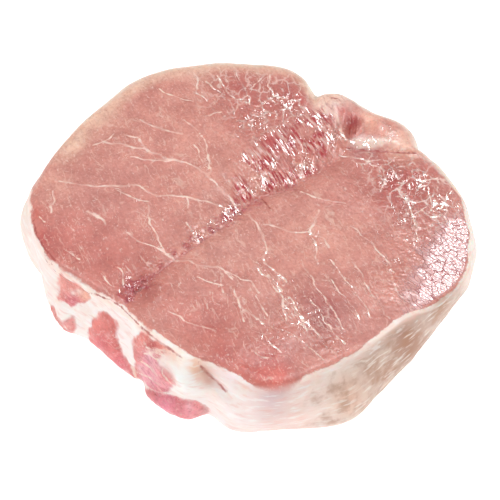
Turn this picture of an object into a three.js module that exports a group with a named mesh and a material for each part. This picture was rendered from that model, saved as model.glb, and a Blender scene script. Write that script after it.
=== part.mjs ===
// Butterfly pork chop, raw: a boneless loin chop cut double thick, split almost through
// and opened flat, so that two mirrored lobes of lean meat lie side by side.
// It is one piece of meat, so it is one closed solid, named "chop".
// Millimetres, +Z up. The fold runs along Y and the lobes lie towards -X and +X.
// -Y is the rib side with its knobs of fat, +Y the side with the notch and the flap.
// The origin is on the floor, under the middle of the chop.

import * as THREE from "three";

// Driving sizes
const THICK = 24; // cut thickness of the opened chop
const HALF_ACROSS = 61.5; // half the cut face, across the fold
const HALF_ALONG = 53.5; // half the cut face, along the fold
const SQUARENESS = 2.7; // exponent of the outline: 2 is an ellipse, more is squarer
const CRISP_EDGE = 1.7; // radius where the knife left a clean edge
const SOFT_EDGE = 4.8; // radius where the fat cover rolls over the edge
const UNDER_EDGE = 3.4; // radius where the side meets the board
const SIDE_FLARE = 3.2; // how far the side stands out at the board
const SIDE_BELLY = 1.1; // extra fullness half way down the side

// Fold
const FOLD_DEEP = 2.3; // depth of the fold where the fibres are torn
const FOLD_SHALLOW = 0.8; // depth of the fold where it is only a line
const FOLD_LEFT_SLOPE = 7.5; // how far the left lobe slopes down to the fold
const FOLD_RIGHT_SLOPE = 3.2; // how far the right lobe does
const FOLD_SHARPNESS = 1.3; // 1 is a sharp crease, 2 a round valley
const FOLD_FAR_END = 36; // the fold ends at the flap
const FOLD_TEAR = { from: -12, to: 4 }; // it tears open between these places
const FOLD_NEAR_NICK = { y: -46, by: 0.9, over: 8 }; // deeper again at its near end
const FOLD_ACROSS = 1.2; // the fold lies a little to the right of the middle
const FOLD_BENDS = [
  { y: -52, by: 1.9, over: 10 },
  { y: 2, by: -2.6, over: 7 },
  { y: 26, by: 2.1, over: 14 },
];

// Torn strands that hang down the left slope of the fold
const STRAND_PITCH = 4.1;
const STRAND_HEIGHT = 0.35;
const STRAND_REACH = { start: 1, full: 5, fade: 10, end: 17 }; // distances from the fold
const STRAND_SPAN = { start: -8, full: 2, fade: 26, end: 34 }; // places along the fold

// Flap of chain muscle at the far end of the fold: a wedge between two cuts that meet
const FLAP_POINT = { x: 2, y: 36 };
const FLAP_LEFT_END = { x: -20, y: 46 };
const FLAP_RIGHT_END = { x: 19.5, y: 49.5 };
const FLAP_RISE = 0.9;
const FLAP_RISE_OVER = 3;
const FLAP_CUT = 1.0; // depth of the cut round it
const FLAP_CUT_HALF = 2.1; // half the width of that cut

// Mesh fineness
const AROUND = 164; // columns round the chop
const CROWDING = 0.24; // how much closer the columns stand at the two ends of the fold
const TOP_STEPS = 13;
const EDGE_STEPS = 3;
const SIDE_STEPS = 10;
const UNDER_STEPS = 4;
const SLIT_MIDDLE = -3; // the columns start from a line along the fold
const SLIT_HALF = 42;
const STEP_GROWTH = 1.2; // the steps over the face grow from the fold outwards
const SETTLE_FROM = 0.75; // from this share of its length a column settles to the height of the edge

// The fat cover rolls over the edge softly round these angles
const SOFT_EDGES = [
  { at: 150, over: 42 },
  { at: -44, over: 15 },
  { at: 95, over: 22 },
];

// Small waves of the outline: how many round the chop, height and start
const OUTLINE_WAVES = [
  { count: 9, by: 0.3, start: 40 },
  { count: 17, by: 0.2, start: 110 },
];

// Swellings and dips of the outline: angle seen from above, amount and reach in degrees
const OUTLINE_SWELLS = [
  { at: -156, by: -1.8, over: 10 },
  { at: -146, by: -1.0, over: 7 },
  { at: -137, by: 1.4, over: 7 },
  { at: -120, by: 3.2, over: 11 }, // near left corner
  { at: -87, by: -1.1, over: 10 },
  { at: -62, by: 1.8, over: 12 },
  { at: -40, by: 4.2, over: 10 }, // near right corner
  { at: -24, by: -0.8, over: 8 },
  { at: 18, by: 1.7, over: 10 },
  { at: 41, by: -1.5, over: 6 },
  { at: 55, by: -1.5, over: 14 },
  { at: 72, by: -1.3, over: 3 }, // nick where the right lobe meets the flap
  { at: 83, by: 2.1, over: 8 }, // blunt end of the flap
  { at: 114, by: -5.2, over: 5 }, // notch between left lobe and flap
  { at: 130, by: 0.6, over: 7 },
  { at: 146, by: 1.3, over: 9 },
  { at: 159, by: 0.8, over: 5 },
  { at: 171, by: 3.2, over: 14 }, // full left end, where the fat is thick
];

// Where the side flares out more at the board, or is tucked under
const SIDE_FLARES = [
  { at: -150, by: 0.8, over: 14 },
  { at: -123, by: -4.4, over: 7 }, // tucked under at the near left corner
  { at: -106, by: 1.4, over: 6 },
  { at: -88, by: 0.8, over: 9 },
  { at: -55, by: -3.2, over: 4 }, // nick behind the lower roll
  { at: -39, by: -5.8, over: 9 }, // tucked under at the near right corner
  { at: -20, by: 2.2, over: 7 },
  { at: -2, by: -3.6, over: 13 },
  { at: 19, by: -9.2, over: 14 }, // the right side leans in
];

// Lumps and hollows of the side: angle, height above the board, amount, reach round and up
const SIDE_LUMPS = [
  { at: -112, high: 7, by: -0.8, over: 3, up: 3 }, // crease above the small lower muscle
  { at: -105, high: 3, by: 1.5, over: 5, up: 4 }, // small lower muscle
  { at: -91, high: 8, by: 1.0, over: 5, up: 6 }, // oval muscle between two ribs
  { at: -82, high: 12, by: -0.7, over: 2.5, up: 7 }, // fat column beside it
  { at: -76, high: 5, by: -1.2, over: 2.5, up: 5 }, // pinch where the lower roll starts
  { at: -73, high: 13, by: -1.1, over: 4, up: 5 }, // hollow muscle
  { at: -68, high: 16, by: 1.3, over: 2.8, up: 3.4 }, // small knob of fat
  { at: -60.5, high: 17, by: 2.3, over: 4.2, up: 5 }, // large knob of fat
  { at: -45, high: 9, by: 1.0, over: 10, up: 7 }, // full belly of the fat corner
  { at: -35, high: 4, by: -0.8, over: 12, up: 4 },
  { at: 28, high: 19, by: 0.8, over: 14, up: 5 },
  { at: 62, high: 10, by: -0.7, over: 9, up: 8 },
  { at: 100, high: 9, by: 1.0, over: 10, up: 7 },
  { at: 135, high: 12, by: -0.8, over: 10, up: 8 },
  { at: 160, high: 9, by: 0.8, over: 12, up: 7 },
  { at: -138, high: 13, by: 1.8, over: 10, up: 7 }, // thick fat of the left side
];

// Lower roll of meat along the near edge: it grows slowly and ends in a step
const ROLL = { start: -78, end: -60, high: 4.5, by: 1.9, up: 3.6, step: 3.5 };

// Dark crevice beside the large knob: from one angle and height to another
const CREVICE = { from: { at: -56.5, high: 20.5 }, to: { at: -51, high: 17 }, by: -1.9, half: 1.8 };

// Soft ripples of the cut face
const FACE_RIPPLE = 0.22;
const RIPPLE_ACROSS = 6.5;
const RIPPLE_ALONG = 8;

// Broad unevenness of the cut face: place, amount and reach
const FACE_SWELLS = [
  { x: -34, y: -8, by: 0.7, across: 18, along: 24 }, // crown of the left lobe
  { x: -14, y: 14, by: 0.7, across: 7, along: 20 }, // crest above the torn slope
  { x: 34, y: -8, by: 0.8, across: 20, along: 24 }, // crown of the right lobe
  { x: 52, y: 22, by: -0.7, across: 12, along: 14 }, // right lobe falls away at its far side
  { x: -48, y: 34, by: -1.3, across: 12, along: 12 }, // left lobe falls away at its far side
  { x: 24, y: -47, by: -0.5, across: 8, along: 8 },
  { x: 50, y: -40, by: -1.2, across: 9, along: 9 }, // fat corner lies lower
  { x: -1.5, y: 43.2, by: -5.0, across: 2.6, along: 4.4 }, // pit in the flap
  { x: 3, y: 50, by: 0.9, across: 3.5, along: 3 }, // round muscle beside the pit
  { x: -9, y: 46.5, by: 0.5, across: 4, along: 3 },
];

const RAW_LEAN = new THREE.MeshStandardMaterial({ color: 0xd18b80, roughness: 0.42, metalness: 0 });

const radians = THREE.MathUtils.degToRad;
const mix = THREE.MathUtils.lerp;
const ramp = THREE.MathUtils.smoothstep;

function swell(distance, reach) {
  return Math.exp(-((distance / reach) ** 2));
}

// Shortest way from one angle to another, in degrees
function turn(angle, from) {
  return THREE.MathUtils.euclideanModulo(angle - from + 180, 360) - 180;
}

// Distance of a point from the stretch between two points, and how far it lies to its left
function beside(px, py, a, b) {
  const abx = b.x - a.x;
  const aby = b.y - a.y;
  const length = Math.hypot(abx, aby);
  const along = THREE.MathUtils.clamp(((px - a.x) * abx + (py - a.y) * aby) / length ** 2, 0, 1);
  const gap = Math.hypot(px - a.x - along * abx, py - a.y - along * aby);
  const left = ((py - a.y) * abx - (px - a.x) * aby) / length;
  return { gap, left };
}

// Outline of the cut face: distance from the middle at an angle in degrees
function outline(angle) {
  const across = Math.abs(Math.cos(radians(angle)) / HALF_ACROSS) ** SQUARENESS;
  const along = Math.abs(Math.sin(radians(angle)) / HALF_ALONG) ** SQUARENESS;
  let reach = (across + along) ** (-1 / SQUARENESS);
  for (const s of OUTLINE_SWELLS) reach += s.by * swell(turn(angle, s.at), s.over);
  for (const w of OUTLINE_WAVES) reach += w.by * Math.sin(radians(w.count * angle + w.start));
  return reach;
}

// How far the side stands out beyond that outline at a height above the board
function sideOffset(angle, high) {
  const fraction = THREE.MathUtils.clamp(high / THICK, 0, 1);
  let flare = SIDE_FLARE;
  for (const s of SIDE_FLARES) flare += s.by * swell(turn(angle, s.at), s.over);
  let out = flare * (1 - fraction) + SIDE_BELLY * 4 * fraction * (1 - fraction);
  for (const s of SIDE_LUMPS) out += s.by * swell(turn(angle, s.at), s.over) * swell(high - s.high, s.up);
  return out + rollOffset(angle, high) + creviceOffset(angle, high);
}

function rollOffset(angle, high) {
  const middle = (ROLL.start + ROLL.end) / 2;
  const grown = ramp(turn(angle, ROLL.start), 0, turn(middle, ROLL.start));
  const ended = ramp(turn(angle, ROLL.end), 0, ROLL.step);
  return ROLL.by * grown * (1 - ended) * swell(high - ROLL.high, ROLL.up);
}

// A degree of turn is about a millimetre of side here
function creviceOffset(angle, high) {
  const here = { x: turn(angle, 0), y: high };
  const from = { x: CREVICE.from.at, y: CREVICE.from.high };
  const to = { x: CREVICE.to.at, y: CREVICE.to.high };
  return CREVICE.by * swell(beside(here.x, here.y, from, to).gap, CREVICE.half);
}

// Where the fold lies across the chop
function foldLine(y) {
  let across = FOLD_ACROSS;
  for (const bend of FOLD_BENDS) across += bend.by * swell(y - bend.y, bend.over);
  return across;
}

// Depth of the fold: a line on the near half, torn open on the far half
function foldDepth(y) {
  const torn = ramp(y, FOLD_TEAR.from, FOLD_TEAR.to);
  const nick = FOLD_NEAR_NICK.by * swell(y - FOLD_NEAR_NICK.y, FOLD_NEAR_NICK.over);
  const ended = ramp(y, FOLD_FAR_END - 3, FOLD_FAR_END + 4);
  return (mix(FOLD_SHALLOW, FOLD_DEEP, torn) + nick) * (1 - ended);
}

function foldRelief(x, y) {
  const off = x - foldLine(y);
  const slope = off < 0 ? FOLD_LEFT_SLOPE : FOLD_RIGHT_SLOPE;
  return -foldDepth(y) * Math.exp(-((Math.abs(off) / slope) ** FOLD_SHARPNESS));
}

// Rises from 0 to 1 between start and full, and falls back between fade and end
function stretch(value, { start, full, fade, end }) {
  return ramp(value, start, full) * (1 - ramp(value, fade, end));
}

// The strands lie side by side along the fold, each in a lane that starts at a point of the fold
function strandRelief(x, y, lane) {
  const where = stretch(foldLine(y) - x, STRAND_REACH) * stretch(lane, STRAND_SPAN);
  return STRAND_HEIGHT * where * Math.sin((2 * Math.PI * lane) / STRAND_PITCH);
}

// Distance inside the flap, measured from its two cuts
function insideFlap(x, y) {
  const left = beside(x, y, FLAP_LEFT_END, FLAP_POINT).left;
  const right = beside(x, y, FLAP_POINT, FLAP_RIGHT_END).left;
  return Math.min(left, right);
}

function flapRelief(x, y) {
  const inside = insideFlap(x, y);
  const rise = FLAP_RISE * ramp(inside, 0, FLAP_RISE_OVER);
  return rise - FLAP_CUT * swell(inside, FLAP_CUT_HALF) * ramp(y, FLAP_POINT.y - 2, FLAP_POINT.y + 2);
}

// Height of the cut face
function faceHeight(x, y, lane) {
  let high = THICK + foldRelief(x, y) + strandRelief(x, y, lane) + flapRelief(x, y);
  for (const s of FACE_SWELLS) high += s.by * swell(x - s.x, s.across) * swell(y - s.y, s.along);
  const wave = Math.sin(y / RIPPLE_ALONG);
  return high + FACE_RIPPLE * Math.sin(x / RIPPLE_ACROSS + wave) * wave;
}

function edgeRadius(angle) {
  const soft = Math.max(...SOFT_EDGES.map((s) => swell(turn(angle, s.at), s.over)));
  return mix(CRISP_EDGE, SOFT_EDGE, soft);
}

// A point of the side: at an angle, pushed out from the outline, at a height
function sidePoint(angle, out, high) {
  const reach = outline(angle) + out;
  return new THREE.Vector3(reach * Math.cos(radians(angle)), reach * Math.sin(radians(angle)), high);
}

// Columns crowd together at both ends of the fold, where the shape has most detail
function columnAngle(index) {
  const even = (360 * index) / AROUND;
  return even + THREE.MathUtils.radToDeg(CROWDING * Math.sin(2 * radians(even)));
}

// The line along the fold that every column starts from
function slitPoint(index) {
  const quarter = AROUND / 4;
  const sawtooth = Math.abs(THREE.MathUtils.euclideanModulo(index + quarter, AROUND) - 2 * quarter);
  const y = SLIT_MIDDLE + SLIT_HALF * (1 - sawtooth / quarter);
  return { x: foldLine(y), y };
}

// One column from the fold over the face, round the edge, down the side and back under
function column(index) {
  const angle = columnAngle(index);
  const slit = slitPoint(index);
  const radius = edgeRadius(angle);
  const rim = sidePoint(angle, 0, 0);
  const rimHeight = faceHeight(rim.x, rim.y, slit.y);
  const start = sidePoint(angle, sideOffset(angle, rimHeight) - radius, 0);
  const points = [];
  for (let step = 0; step <= TOP_STEPS; step += 1) {
    const share = (step / TOP_STEPS) ** STEP_GROWTH;
    const x = mix(slit.x, start.x, share);
    const y = mix(slit.y, start.y, share);
    const settle = ramp(share, SETTLE_FROM, 1) ** 2;
    points.push(new THREE.Vector3(x, y, mix(faceHeight(x, y, slit.y), rimHeight, settle)));
  }
  for (let step = 1; step <= EDGE_STEPS; step += 1) {
    const bend = (Math.PI / 2) * (step / EDGE_STEPS);
    const high = rimHeight - radius * (1 - Math.cos(bend));
    points.push(sidePoint(angle, sideOffset(angle, high) - radius * (1 - Math.sin(bend)), high));
  }
  const sideTop = rimHeight - radius;
  for (let step = 1; step <= SIDE_STEPS; step += 1) {
    const high = mix(sideTop, UNDER_EDGE, step / SIDE_STEPS);
    points.push(sidePoint(angle, sideOffset(angle, high), high));
  }
  for (let step = 1; step <= EDGE_STEPS; step += 1) {
    const bend = (Math.PI / 2) * (step / EDGE_STEPS);
    const high = UNDER_EDGE * (1 - Math.sin(bend));
    points.push(sidePoint(angle, sideOffset(angle, high) - UNDER_EDGE * (1 - Math.cos(bend)), high));
  }
  const foot = points[points.length - 1];
  for (let step = 1; step <= UNDER_STEPS; step += 1) {
    const share = 1 - step / UNDER_STEPS;
    points.push(new THREE.Vector3(mix(slit.x, foot.x, share), mix(slit.y, foot.y, share), 0));
  }
  return points;
}

// Joins the columns into one closed skin: the columns left and right of the fold share its points.
// On the face each four-sided patch is split along its shorter diagonal.
function chopGeometry() {
  const columns = Array.from({ length: AROUND }, (_, index) => column(index));
  const rows = columns[0].length;
  const places = [];
  const numberOf = new Map();
  const number = (point) => {
    const key = [point.x, point.y, point.z].map((value) => value.toFixed(4)).join(" ");
    if (!numberOf.has(key)) {
      numberOf.set(key, numberOf.size);
      places.push(point);
    }
    return numberOf.get(key);
  };
  const grid = columns.map((points) => points.map(number));
  const triangles = [];
  const addTriangle = (a, b, c) => {
    if (a !== b && b !== c && c !== a) triangles.push(a, b, c);
  };
  const addQuad = (a, b, c, d, turned) => {
    addTriangle(a, b, turned ? d : c);
    addTriangle(turned ? b : a, c, d);
  };
  const shorter = (a, c, b, d) => places[b].distanceTo(places[d]) < places[a].distanceTo(places[c]);
  for (let i = 0; i < AROUND; i += 1) {
    const here = grid[i];
    const next = grid[(i + 1) % AROUND];
    for (let row = 0; row < rows - 1; row += 1) {
      const [a, b, c, d] = [here[row], here[row + 1], next[row + 1], next[row]];
      addQuad(a, b, c, d, row < TOP_STEPS && shorter(a, c, b, d));
    }
  }
  const box = new THREE.Box3().setFromPoints(places);
  const middle = box.getCenter(new THREE.Vector3());
  const geometry = new THREE.BufferGeometry().setFromPoints(places);
  geometry.setIndex(triangles);
  geometry.translate(-middle.x, -middle.y, -box.min.z);
  geometry.computeVertexNormals();
  return geometry;
}

function chop() {
  const mesh = new THREE.Mesh(chopGeometry(), RAW_LEAN);
  mesh.name = "chop";
  return mesh;
}

const porkChop = new THREE.Group();
porkChop.add(chop());

export default porkChop;
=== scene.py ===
# %% [markdown]
# # A raw butterfly pork chop
#
# A thick boneless loin chop is split almost through and opened flat like a book. What shows
# is a wide cut face of lean meat with a fold down its middle, and round it a side of white
# fat, small rib muscles and thin brown silverskin.
#
# The form is worked out in millimetres from a few dozen named sizes, as one closed skin of
# fine patches. Each point of the skin also carries what tissue it is, and one material
# turns that into colour, gloss and fine relief.

import bpy
import numpy as np
from mathutils import Matrix


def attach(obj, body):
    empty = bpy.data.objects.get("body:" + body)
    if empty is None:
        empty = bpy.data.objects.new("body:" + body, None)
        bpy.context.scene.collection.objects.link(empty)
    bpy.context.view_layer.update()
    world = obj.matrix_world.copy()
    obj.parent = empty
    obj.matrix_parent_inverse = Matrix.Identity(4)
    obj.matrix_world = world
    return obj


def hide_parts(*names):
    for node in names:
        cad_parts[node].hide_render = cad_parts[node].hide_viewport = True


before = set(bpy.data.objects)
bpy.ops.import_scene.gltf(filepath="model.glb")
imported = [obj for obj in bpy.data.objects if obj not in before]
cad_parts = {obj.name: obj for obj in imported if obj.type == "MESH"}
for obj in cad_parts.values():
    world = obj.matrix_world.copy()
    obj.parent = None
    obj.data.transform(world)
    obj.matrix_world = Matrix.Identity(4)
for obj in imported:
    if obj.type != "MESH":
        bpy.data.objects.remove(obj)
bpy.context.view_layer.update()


# %% [markdown]
# ## Camera
#
# The chop is seen from well above and from its near left corner, through a long lens, so
# that near and far sides look almost equally large. The camera comes first, because small
# marks such as the veins are laid on the meat by where they show in the picture.

# %% Camera
PICTURE = 500  # pixels, both ways
LENS = 120.0
SENSOR = 36.0
VIEW_TURN = np.radians(46.4)
VIEW_RISE = np.radians(47.0)
VIEW_TARGET = np.array([7.76, -6.23, 12.5])
MM_PER_PIXEL = 0.2883  # at the target
FOCAL = LENS / SENSOR * PICTURE
MM = 0.001

view_right = np.array([np.cos(VIEW_TURN), np.sin(VIEW_TURN), 0.0])
view_back = np.array([view_right[1], -view_right[0], 0.0]) * np.cos(VIEW_RISE)
view_back[2] = np.sin(VIEW_RISE)
view_up = np.cross(view_back, view_right)
eye = VIEW_TARGET + view_back * FOCAL * MM_PER_PIXEL

scene = bpy.context.scene
camera_data = bpy.data.cameras.new("camera")
camera_data.lens = LENS
camera_data.sensor_width = SENSOR
camera = bpy.data.objects.new("camera", camera_data)
turned = Matrix(np.column_stack([view_right, view_up, view_back]).tolist()).to_4x4()
camera.matrix_world = Matrix.Translation((eye * MM).tolist()) @ turned
scene.collection.objects.link(camera)
scene.camera = camera
print("camera at, in mm:", eye.round(1))


# %% From the meat to the picture and back
def pixel_of(points):
    """Where points, in millimetres, show in the picture."""
    sight = points - eye
    depth = -(sight @ view_back)
    across = PICTURE / 2 + FOCAL * (sight @ view_right) / depth
    down = PICTURE / 2 - FOCAL * (sight @ view_up) / depth
    return np.stack([across, down], axis=-1)


def face_point(pixels, high=24.2):
    """Where the lines of sight through pixels meet a level plane."""
    offset = (np.asarray(pixels, float) - PICTURE / 2) / FOCAL
    sight = -view_back + offset[:, :1] * view_right - offset[:, 1:] * view_up
    reach = (high - eye[2]) / sight[:, 2:]
    return (eye + reach * sight)[:, :2]


print("the picture's middle lies on the face at:", face_point([(250, 250)]).round(1))

# %% [markdown]
# ## Form of the chop
#
# The named sizes and formulas here are those of the solid, in millimetres: the outline seen
# from above, how the side stands out from it, the fold, the flap of chain muscle at its far
# end and the slow swellings of the cut face. A formula gives the same form at any fineness,
# so the skin can be much finer than the solid and still lie on it.


# %% Small helpers for forms
def swell(distance, reach):
    """1 in the middle, fading to nothing at about twice its reach."""
    return np.exp(-((distance / reach) ** 2))


def ramp(value, start, end):
    """Rises smoothly from 0 to 1 between two values."""
    share = np.clip((value - start) / (end - start), 0, 1)
    return share * share * (3 - 2 * share)


def mix(a, b, share):
    return a + (b - a) * share


def turn(angle, start):
    """Shortest way from one angle to another, in degrees."""
    return (angle - start + 180) % 360 - 180


def beside(x, y, a, b):
    """Distance from the stretch between two points, and how far to its left."""
    across, along = b[0] - a[0], b[1] - a[1]
    length = np.hypot(across, along)
    share = np.clip(((x - a[0]) * across + (y - a[1]) * along) / length**2, 0, 1)
    gap = np.hypot(x - a[0] - share * across, y - a[1] - share * along)
    return gap, ((y - a[1]) * across - (x - a[0]) * along) / length


def uneven(u, v, size, seed):
    """Smooth random heights from -1 to 1, with bumps of a given size."""
    table = np.random.default_rng(seed).uniform(-1, 1, (128, 128))
    i, j = np.floor(u / size).astype(int), np.floor(v / size).astype(int)
    s, t = ramp(u / size - i, 0, 1), ramp(v / size - j, 0, 1)
    near = mix(table[i % 128, j % 128], table[(i + 1) % 128, j % 128], s)
    far = mix(table[i % 128, (j + 1) % 128], table[(i + 1) % 128, (j + 1) % 128], s)
    return mix(near, far, t)


def waves(u, v, layers):
    """Several such layers together: height, size and seed of each."""
    return sum(high * uneven(u, v, size, seed) for high, size, seed in layers)


# %% Sizes of the outline and the side
THICK = 24
HALF_ACROSS, HALF_ALONG, SQUARENESS = 61.5, 53.5, 2.7
CRISP_EDGE, SOFT_EDGE, UNDER_EDGE = 1.7, 4.8, 3.4
SIDE_FLARE, SIDE_BELLY = 3.2, 1.1
RAW_MIDDLE = np.array([-2.48, -0.12])  # middle of the outline, which becomes the origin
SOFT_EDGES = [(150, 42), (-44, 15), (95, 22)]  # angle, reach
OUTLINE_WAVES = [(9, 0.3, 40), (17, 0.2, 110)]  # count, height, start
OUTLINE_SWELLS = [  # angle, amount, reach
    (-156, -1.8, 10), (-146, -1.0, 7), (-137, 1.4, 7), (-120, 3.2, 11), (-87, -1.1, 10),
    (-62, 1.8, 12), (-40, 4.2, 10), (-24, -0.8, 8), (18, 1.7, 10), (41, -1.5, 6),
    (55, -1.5, 14), (72, -1.3, 3), (83, 2.1, 8), (114, -5.2, 5), (130, 0.6, 7),
    (146, 1.3, 9), (159, 0.8, 5), (171, 3.2, 14),
]  # fmt: skip
SIDE_FLARES = [  # angle, amount, reach
    (-150, 0.8, 14), (-123, -4.4, 7), (-106, 1.4, 6), (-88, 0.8, 9), (-55, -3.2, 4),
    (-39, -5.8, 9), (-20, 2.2, 7), (-2, -3.6, 13), (19, -9.2, 14),
]  # fmt: skip
SIDE_LUMPS = [  # angle, height, amount, reach round, reach up
    (-112, 7, -0.8, 3, 3), (-105, 3, 1.5, 5, 4), (-91, 8, 1.0, 5, 6),
    (-82, 12, -0.7, 2.5, 7), (-76, 5, -1.2, 2.5, 5), (-73, 13, -1.1, 4, 5),
    (-68, 16, 1.3, 2.8, 3.4), (-60.5, 17, 2.3, 4.2, 5), (-45, 9, 1.0, 10, 7),
    (-35, 4, -0.8, 12, 4), (28, 19, 0.8, 14, 5), (62, 10, -0.7, 9, 8),
    (100, 9, 1.0, 10, 7), (135, 12, -0.8, 10, 8), (160, 9, 0.8, 12, 7),
    (-138, 13, 1.8, 10, 7),
]  # fmt: skip
ROLL_START, ROLL_END, ROLL_STEP = -78, -60, 3.5
ROLL_HIGH, ROLL_BY, ROLL_UP = 4.5, 1.9, 3.6
CREVICE_FROM, CREVICE_TO, CREVICE_BY, CREVICE_HALF = (-56.5, 20.5), (-51, 17), -1.9, 1.8


# %% Outline and side
def outline(angle):
    """Distance of the cut face's edge from the middle."""
    across = np.abs(np.cos(np.radians(angle)) / HALF_ACROSS) ** SQUARENESS
    along = np.abs(np.sin(np.radians(angle)) / HALF_ALONG) ** SQUARENESS
    reach = (across + along) ** (-1 / SQUARENESS)
    for at, by, over in OUTLINE_SWELLS:
        reach = reach + by * swell(turn(angle, at), over)
    for count, by, start in OUTLINE_WAVES:
        reach = reach + by * np.sin(np.radians(count * angle + start))
    return reach


def side_offset(angle, high):
    """How far the side stands out beyond that edge at a height."""
    share = np.clip(high / THICK, 0, 1)
    flare = SIDE_FLARE + sum(by * swell(turn(angle, at), over) for at, by, over in SIDE_FLARES)
    out = flare * (1 - share) + SIDE_BELLY * 4 * share * (1 - share)
    for at, middle, by, over, up in SIDE_LUMPS:
        out = out + by * swell(turn(angle, at), over) * swell(high - middle, up)
    half_way = turn((ROLL_START + ROLL_END) / 2, ROLL_START)
    roll = ramp(turn(angle, ROLL_START), 0, half_way)
    roll = roll * (1 - ramp(turn(angle, ROLL_END), 0, ROLL_STEP)) * swell(high - ROLL_HIGH, ROLL_UP)
    gap, _ = beside(turn(angle, 0), high, CREVICE_FROM, CREVICE_TO)
    return out + ROLL_BY * roll + CREVICE_BY * swell(gap, CREVICE_HALF)


def edge_radius(angle):
    soft = np.max([swell(turn(angle, at), over) for at, over in SOFT_EDGES], axis=0)
    return mix(CRISP_EDGE, SOFT_EDGE, soft)


print("reach of the outline to the right, far, left and near side:",
      [round(float(outline(a)), 1) for a in (0, 90, 180, -90)])

# %% Sizes of the cut face
FOLD_DEEP, FOLD_SHALLOW, FOLD_SHARPNESS = 2.3, 0.8, 1.3
FOLD_LEFT_SLOPE, FOLD_RIGHT_SLOPE = 7.5, 3.2
FOLD_FAR_END, FOLD_TEAR_FROM, FOLD_TEAR_TO = 36, -12, 4
NICK_AT, NICK_BY, NICK_OVER = -46, 0.9, 8
FOLD_ACROSS = 1.2
FOLD_BENDS = [(-52, 1.9, 10), (2, -2.6, 7), (26, 2.1, 14)]  # place, amount, reach
STRAND_PITCH, STRAND_HEIGHT = 4.1, 0.35
STRAND_REACH, STRAND_SPAN = (1, 5, 10, 17), (-8, 2, 26, 34)
FLAP_POINT, FLAP_LEFT_END, FLAP_RIGHT_END = (2, 36), (-20, 46), (19.5, 49.5)
FLAP_RISE, FLAP_RISE_OVER, FLAP_CUT, FLAP_CUT_HALF = 0.9, 3, 1.0, 2.1
FACE_RIPPLE, RIPPLE_ACROSS, RIPPLE_ALONG = 0.22, 6.5, 8
FACE_SWELLS = [  # x, y, amount, reach across, reach along
    (-34, -8, 0.7, 18, 24), (-14, 14, 0.7, 7, 20), (34, -8, 0.8, 20, 24),
    (52, 22, -0.7, 12, 14), (-48, 34, -1.3, 12, 12), (24, -47, -0.5, 8, 8),
    (50, -40, -1.2, 9, 9), (-1.5, 43.2, -5.0, 2.6, 4.4), (3, 50, 0.9, 3.5, 3),
    (-9, 46.5, 0.5, 4, 3),
]  # fmt: skip


# %% Height of the cut face
def fold_line(y):
    return FOLD_ACROSS + sum(by * swell(y - at, over) for at, by, over in FOLD_BENDS)


def stretch(value, start, full, fade, end):
    """Rises from 0 to 1, stays, and falls back."""
    return ramp(value, start, full) * (1 - ramp(value, fade, end))


def fold_relief(x, y):
    torn = ramp(y, FOLD_TEAR_FROM, FOLD_TEAR_TO)
    depth = mix(FOLD_SHALLOW, FOLD_DEEP, torn) + NICK_BY * swell(y - NICK_AT, NICK_OVER)
    depth = depth * (1 - ramp(y, FOLD_FAR_END - 3, FOLD_FAR_END + 4))
    off = x - fold_line(y)
    slope = np.where(off < 0, FOLD_LEFT_SLOPE, FOLD_RIGHT_SLOPE)
    return -depth * np.exp(-((np.abs(off) / slope) ** FOLD_SHARPNESS))


def inside_flap(x, y):
    """Distance inside the flap, measured from its two cuts."""
    left = beside(x, y, FLAP_LEFT_END, FLAP_POINT)[1]
    return np.minimum(left, beside(x, y, FLAP_POINT, FLAP_RIGHT_END)[1])


def face_height(x, y, lane):
    """Height at a place, in a lane that starts at a point of the fold."""
    where = stretch(fold_line(y) - x, *STRAND_REACH) * stretch(lane, *STRAND_SPAN)
    strands = STRAND_HEIGHT * where * np.sin(2 * np.pi * lane / STRAND_PITCH)
    inside = inside_flap(x, y)
    cut = swell(inside, FLAP_CUT_HALF) * ramp(y, FLAP_POINT[1] - 2, FLAP_POINT[1] + 2)
    flap = FLAP_RISE * ramp(inside, 0, FLAP_RISE_OVER) - FLAP_CUT * cut
    high = THICK + fold_relief(x, y) + strands + flap
    for at_x, at_y, by, across, along in FACE_SWELLS:
        high = high + by * swell(x - at_x, across) * swell(y - at_y, along)
    wave = np.sin(y / RIPPLE_ALONG)
    return high + FACE_RIPPLE * np.sin(x / RIPPLE_ACROSS + wave) * wave


print("height in the torn fold and on the left crown:",
      face_height(np.array([fold_line(16.0), -34.0]), np.array([16.0, -8.0]), 16).round(2))

# %% [markdown]
# ## Skin of patches
#
# Every column of the skin starts on the fold, runs out over the face, rounds the edge,
# goes down the side and comes back under. Steps are short at the fold and at the edge,
# where small things happen, and longer between. Because neighbouring columns share their
# points on the fold, joining equal points closes the skin.

# %% Sizes of the skin
COLUMNS = 600
CROWDING = 0.24  # columns crowd together at both ends of the fold
TOP_STEPS, EDGE_STEPS, SIDE_STEPS, FOOT_STEPS, UNDER_STEPS = 100, 8, 36, 5, 16
END_CROWDING = 0.6  # how much shorter the steps are at the fold and at the edge
STEP_GROWTH = 1.2
SETTLE_FROM = 0.75
SLIT_MIDDLE, SLIT_HALF = -3, 42

column = np.arange(COLUMNS)
even = 360 * column / COLUMNS
angle = turn(even + np.degrees(CROWDING * np.sin(2 * np.radians(even))), 0)
quarter = COLUMNS // 4
sawtooth = np.abs((column + quarter) % COLUMNS - 2 * quarter)
slit_y = SLIT_MIDDLE + SLIT_HALF * (1 - sawtooth / quarter)
slit_x = fold_line(slit_y)
radius = edge_radius(angle)
rim = outline(angle)
round_x, round_y = np.cos(np.radians(angle)), np.sin(np.radians(angle))
rim_height = face_height(rim * round_x, rim * round_y, slit_y)
face_end = rim + side_offset(angle, rim_height) - radius
print("the face reaches out", face_end.min().round(1), "to", face_end.max().round(1), "mm")


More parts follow.
